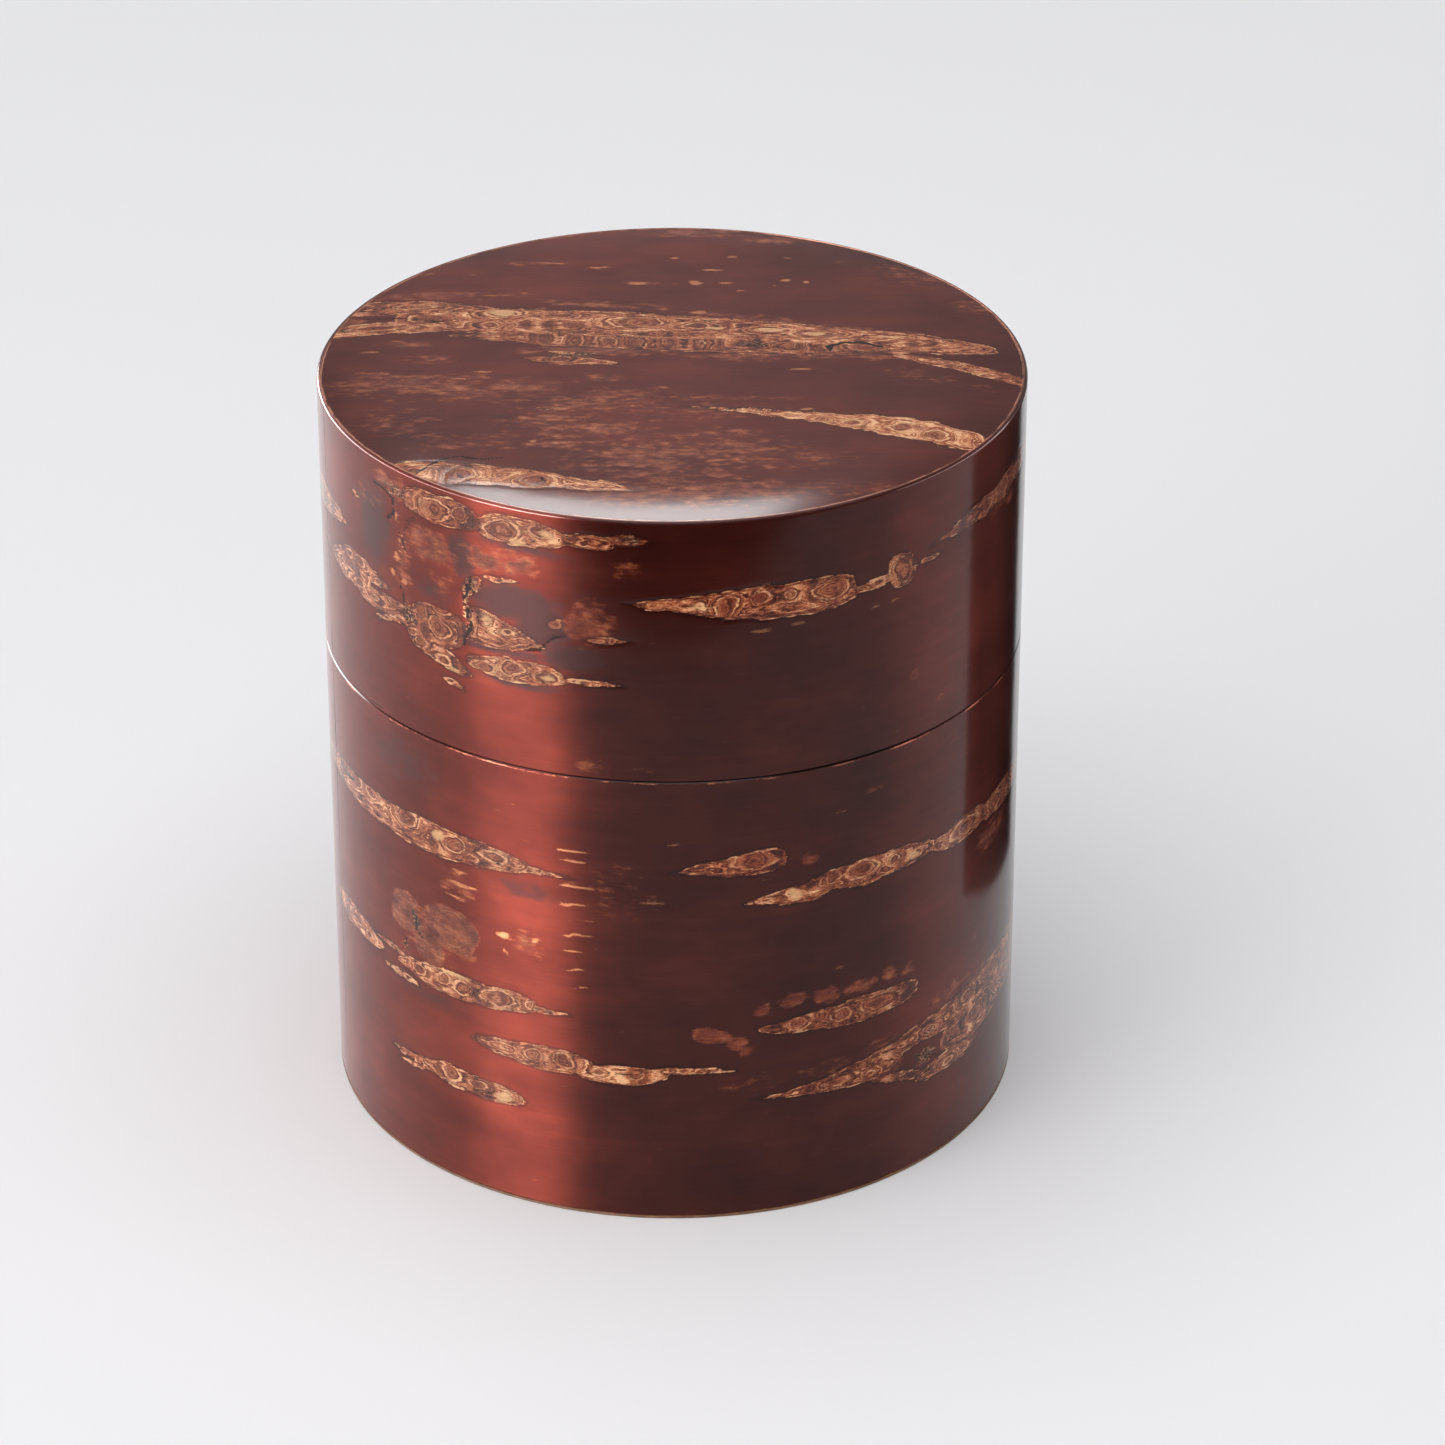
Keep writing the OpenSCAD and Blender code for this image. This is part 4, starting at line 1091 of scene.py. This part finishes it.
def side_markings():
    """Everything that the side's bark carries, body and lid as one sheet, cut through at the seam."""
    k = degree(OUTER_R)
    front = (lenticels(FRONT, k), stains(FRONT_STAINS, k), stains(FRONT_FLECKS, k), cracks(FRONT_CRACKS, k),
             stains(FRONT_ROUGH, k))
    back = grown_markings(BACK_GROWTH, BACK_FROM * k, BACK_TO * k, 6, 90, 24)
    return [seen + grown for seen, grown in zip(front, back)]


SIDE = side_markings()


def side_fields(u, v):
    """The side's fields, the same whichever way round the angle was counted."""
    k = degree(OUTER_R)
    turned = np.where(u < FRONT_FROM * k, u + 360 * k, u)
    whole = np.where(turned > (FRONT_FROM + 360) * k, turned - 360 * k, turned)
    return bark_fields(whole, v, *SIDE, SIDE_SEED, stains(FRONT_DULL, k))


def top_fields(x, y):
    markings = (lenticels(TOP, bows=TOP_BOWS), stains(TOP_STAINS), stains(TOP_FLECKS), cracks(TOP_CRACKS),
                stains(TOP_ROUGH))
    return bark_fields(x, y, *markings, TOP_SEED)


def dress(piece, material, body, slot, *nodes):
    """Gives a piece its material and its body, and hides the CAD nodes that it stands for. slot is not used.
    """
    piece.data.materials.append(material)
    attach(piece, body)
    if nodes:
        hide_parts(*nodes)


def add_wraps():
    """The polished bark round the body and round the lid."""
    bark = polished_bark("bark_side", rings=0.8)
    azimuths = even(JOINT_AZ + JOINT_HALF, JOINT_AZ + 360 - JOINT_HALF, 0.68)
    for name, body, bottom, top, top_round, step in (
        ("body_bark", "body", BODY_BOTTOM, SEAM_Z, False, 0.34),
        ("lid_bark", "lid", LID_BOTTOM, RIM_Z, True, 0.2),
    ):
        profile, outside = wrap_profile(CORE_R, OUTER_R, bottom, top, step, top_round)
        piece = sheet_tube(name, profile, outside, azimuths, side_fields, SIDE_SEED)
        dress(piece, bark, body, "outer_bark", body + "_bark_wrap")


def add_top():
    """The top's bark disc: crowned in the middle, and rolled off towards its rim."""
    flat_r = TOP_R - math.sqrt(2 * CROWN_R * (CROWN_Z - RIM_Z))

    def height(r):
        return CROWN_Z - np.clip(r - flat_r, 0, None) ** 2 / (2 * CROWN_R)

    piece = bark_disc("lid_top", TOP_R, TOP_UNDER, height, 0.32, top_fields, TOP_SEED)
    bark = polished_bark("bark_top", straight=True, cork_level=0.43, ragged=1.6, rings=0.6)
    dress(piece, bark, "lid", "outer_bark", "lid_top_bark")


def add_neck():
    """The bark sleeve on the inner tube. It is fine above the seam, where it shows when the lid is off."""
    outer, bottom, top = span("neck_bark_sleeve")
    inner = span("inner_tube_core")[0]
    half_way = 180 * degree(outer) - 3
    markings = grown_markings(NECK_GROWTH, -half_way, half_way, SEAM_Z - 2, top - 1, 6)
    hidden = even(bottom + EDGE_EASE, SEAM_Z - 3, 9)[:-1]
    shown = even(SEAM_Z - 3, top - EDGE_EASE, 0.3)
    face = upright(outer, np.concatenate([hidden, shown]))
    inside = [[inner, top], [inner, (top + bottom) / 2], [inner, bottom]]
    profile = np.concatenate([face, [[outer - EDGE_EASE, top]], inside, [[outer - EDGE_EASE, bottom]]])
    outside = np.arange(len(profile)) < len(face)
    azimuths = even(-180 + JOINT_HALF, 180 - JOINT_HALF, 0.8)

    def fields(u, v):
        return bark_fields(u, v, *markings, NECK_SEED)

    piece = sheet_tube("neck_bark", profile, outside, azimuths, fields, NECK_SEED)
    dress(piece, polished_bark("bark_neck"), "body", "inner_bark", "neck_bark_sleeve")


def add_inner_lid_top():
    """The bark on top of the inner lid, eased down at its rim."""
    outer, bottom, top = span("inner_lid_top_bark")
    markings = grown_markings(INNER_LID_GROWTH, -outer, outer, -outer, outer, 9)

    def height(r):
        return top - 0.15 * np.clip(r - outer + 0.4, 0, 1)

    def fields(x, y):
        return bark_fields(x, y, *markings, INNER_LID_SEED)

    piece = bark_disc("inner_lid_bark", outer, bottom, height, 0.42, fields, INNER_LID_SEED)
    bark = polished_bark("bark_inner_lid", straight=True)
    dress(piece, bark, "inner_lid", "inner_bark", "inner_lid_top_bark")


def dress_frame():
    """Materials for the CAD parts that show as they are."""
    materials = {
        "base_bark_disc": cut_bark("bark_base_edge"),
        "floor_bark_disc": plain_bark("bark_floor", 10),
        "lid_ceiling_bark": plain_bark("bark_ceiling", 40),
        "inner_lid_bottom_bark": plain_bark("bark_inner_lid_under", 50),
        "base_board": board_wood("board_base", 2),
        "lid_board": board_wood("board_lid", 5),
        "inner_lid_board": board_wood("board_inner_lid", 9),
        "knob": laminated_bark("bark_knob"),
        "knob_peg": bamboo("bamboo_peg"),
    }
    for node, name, seed in (
        ("inner_tube_lining", "bark_tube_lining", 20),
        ("lid_lining", "bark_lid_lining", 30),
        ("inner_lid_edge_band", "bark_inner_lid_edge", 60),
        ("inner_lid_hoop_bark", "bark_hoop", 70),
        ("inner_lid_hoop_lining", "bark_hoop_lining", 80),
    ):
        materials[node] = plain_bark(name, seed, span(node)[0])
    for node, name in (
        ("body_core_tube", "veneer_body"),
        ("lid_core_tube", "veneer_lid"),
        ("inner_tube_core", "veneer_inner_tube"),
        ("inner_lid_hoop", "veneer_hoop"),
    ):
        materials[node] = wound_veneer(name, span(node)[0])
    for node, material in materials.items():
        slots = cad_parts[node].data.materials
        slots.clear()
        slots.append(material)


add_camera()
add_dark_card("front_card", [(-350, -620, 1), (350, -620, 1), (350, -190, 1), (-350, -190, 1)])
add_dark_card("side_card", [(89.9, -0.7, 0), (65.7, 44.5, 0), (65.7, 44.5, 85), (89.9, -0.7, 85)])
add_wraps()
add_top()
add_neck()
add_inner_lid_top()
dress_frame()
add_floor()
add_world((1.0, 1.0, 1.02), 0.34)
add_lights()
bpy.context.scene.view_settings.view_transform = "Standard"
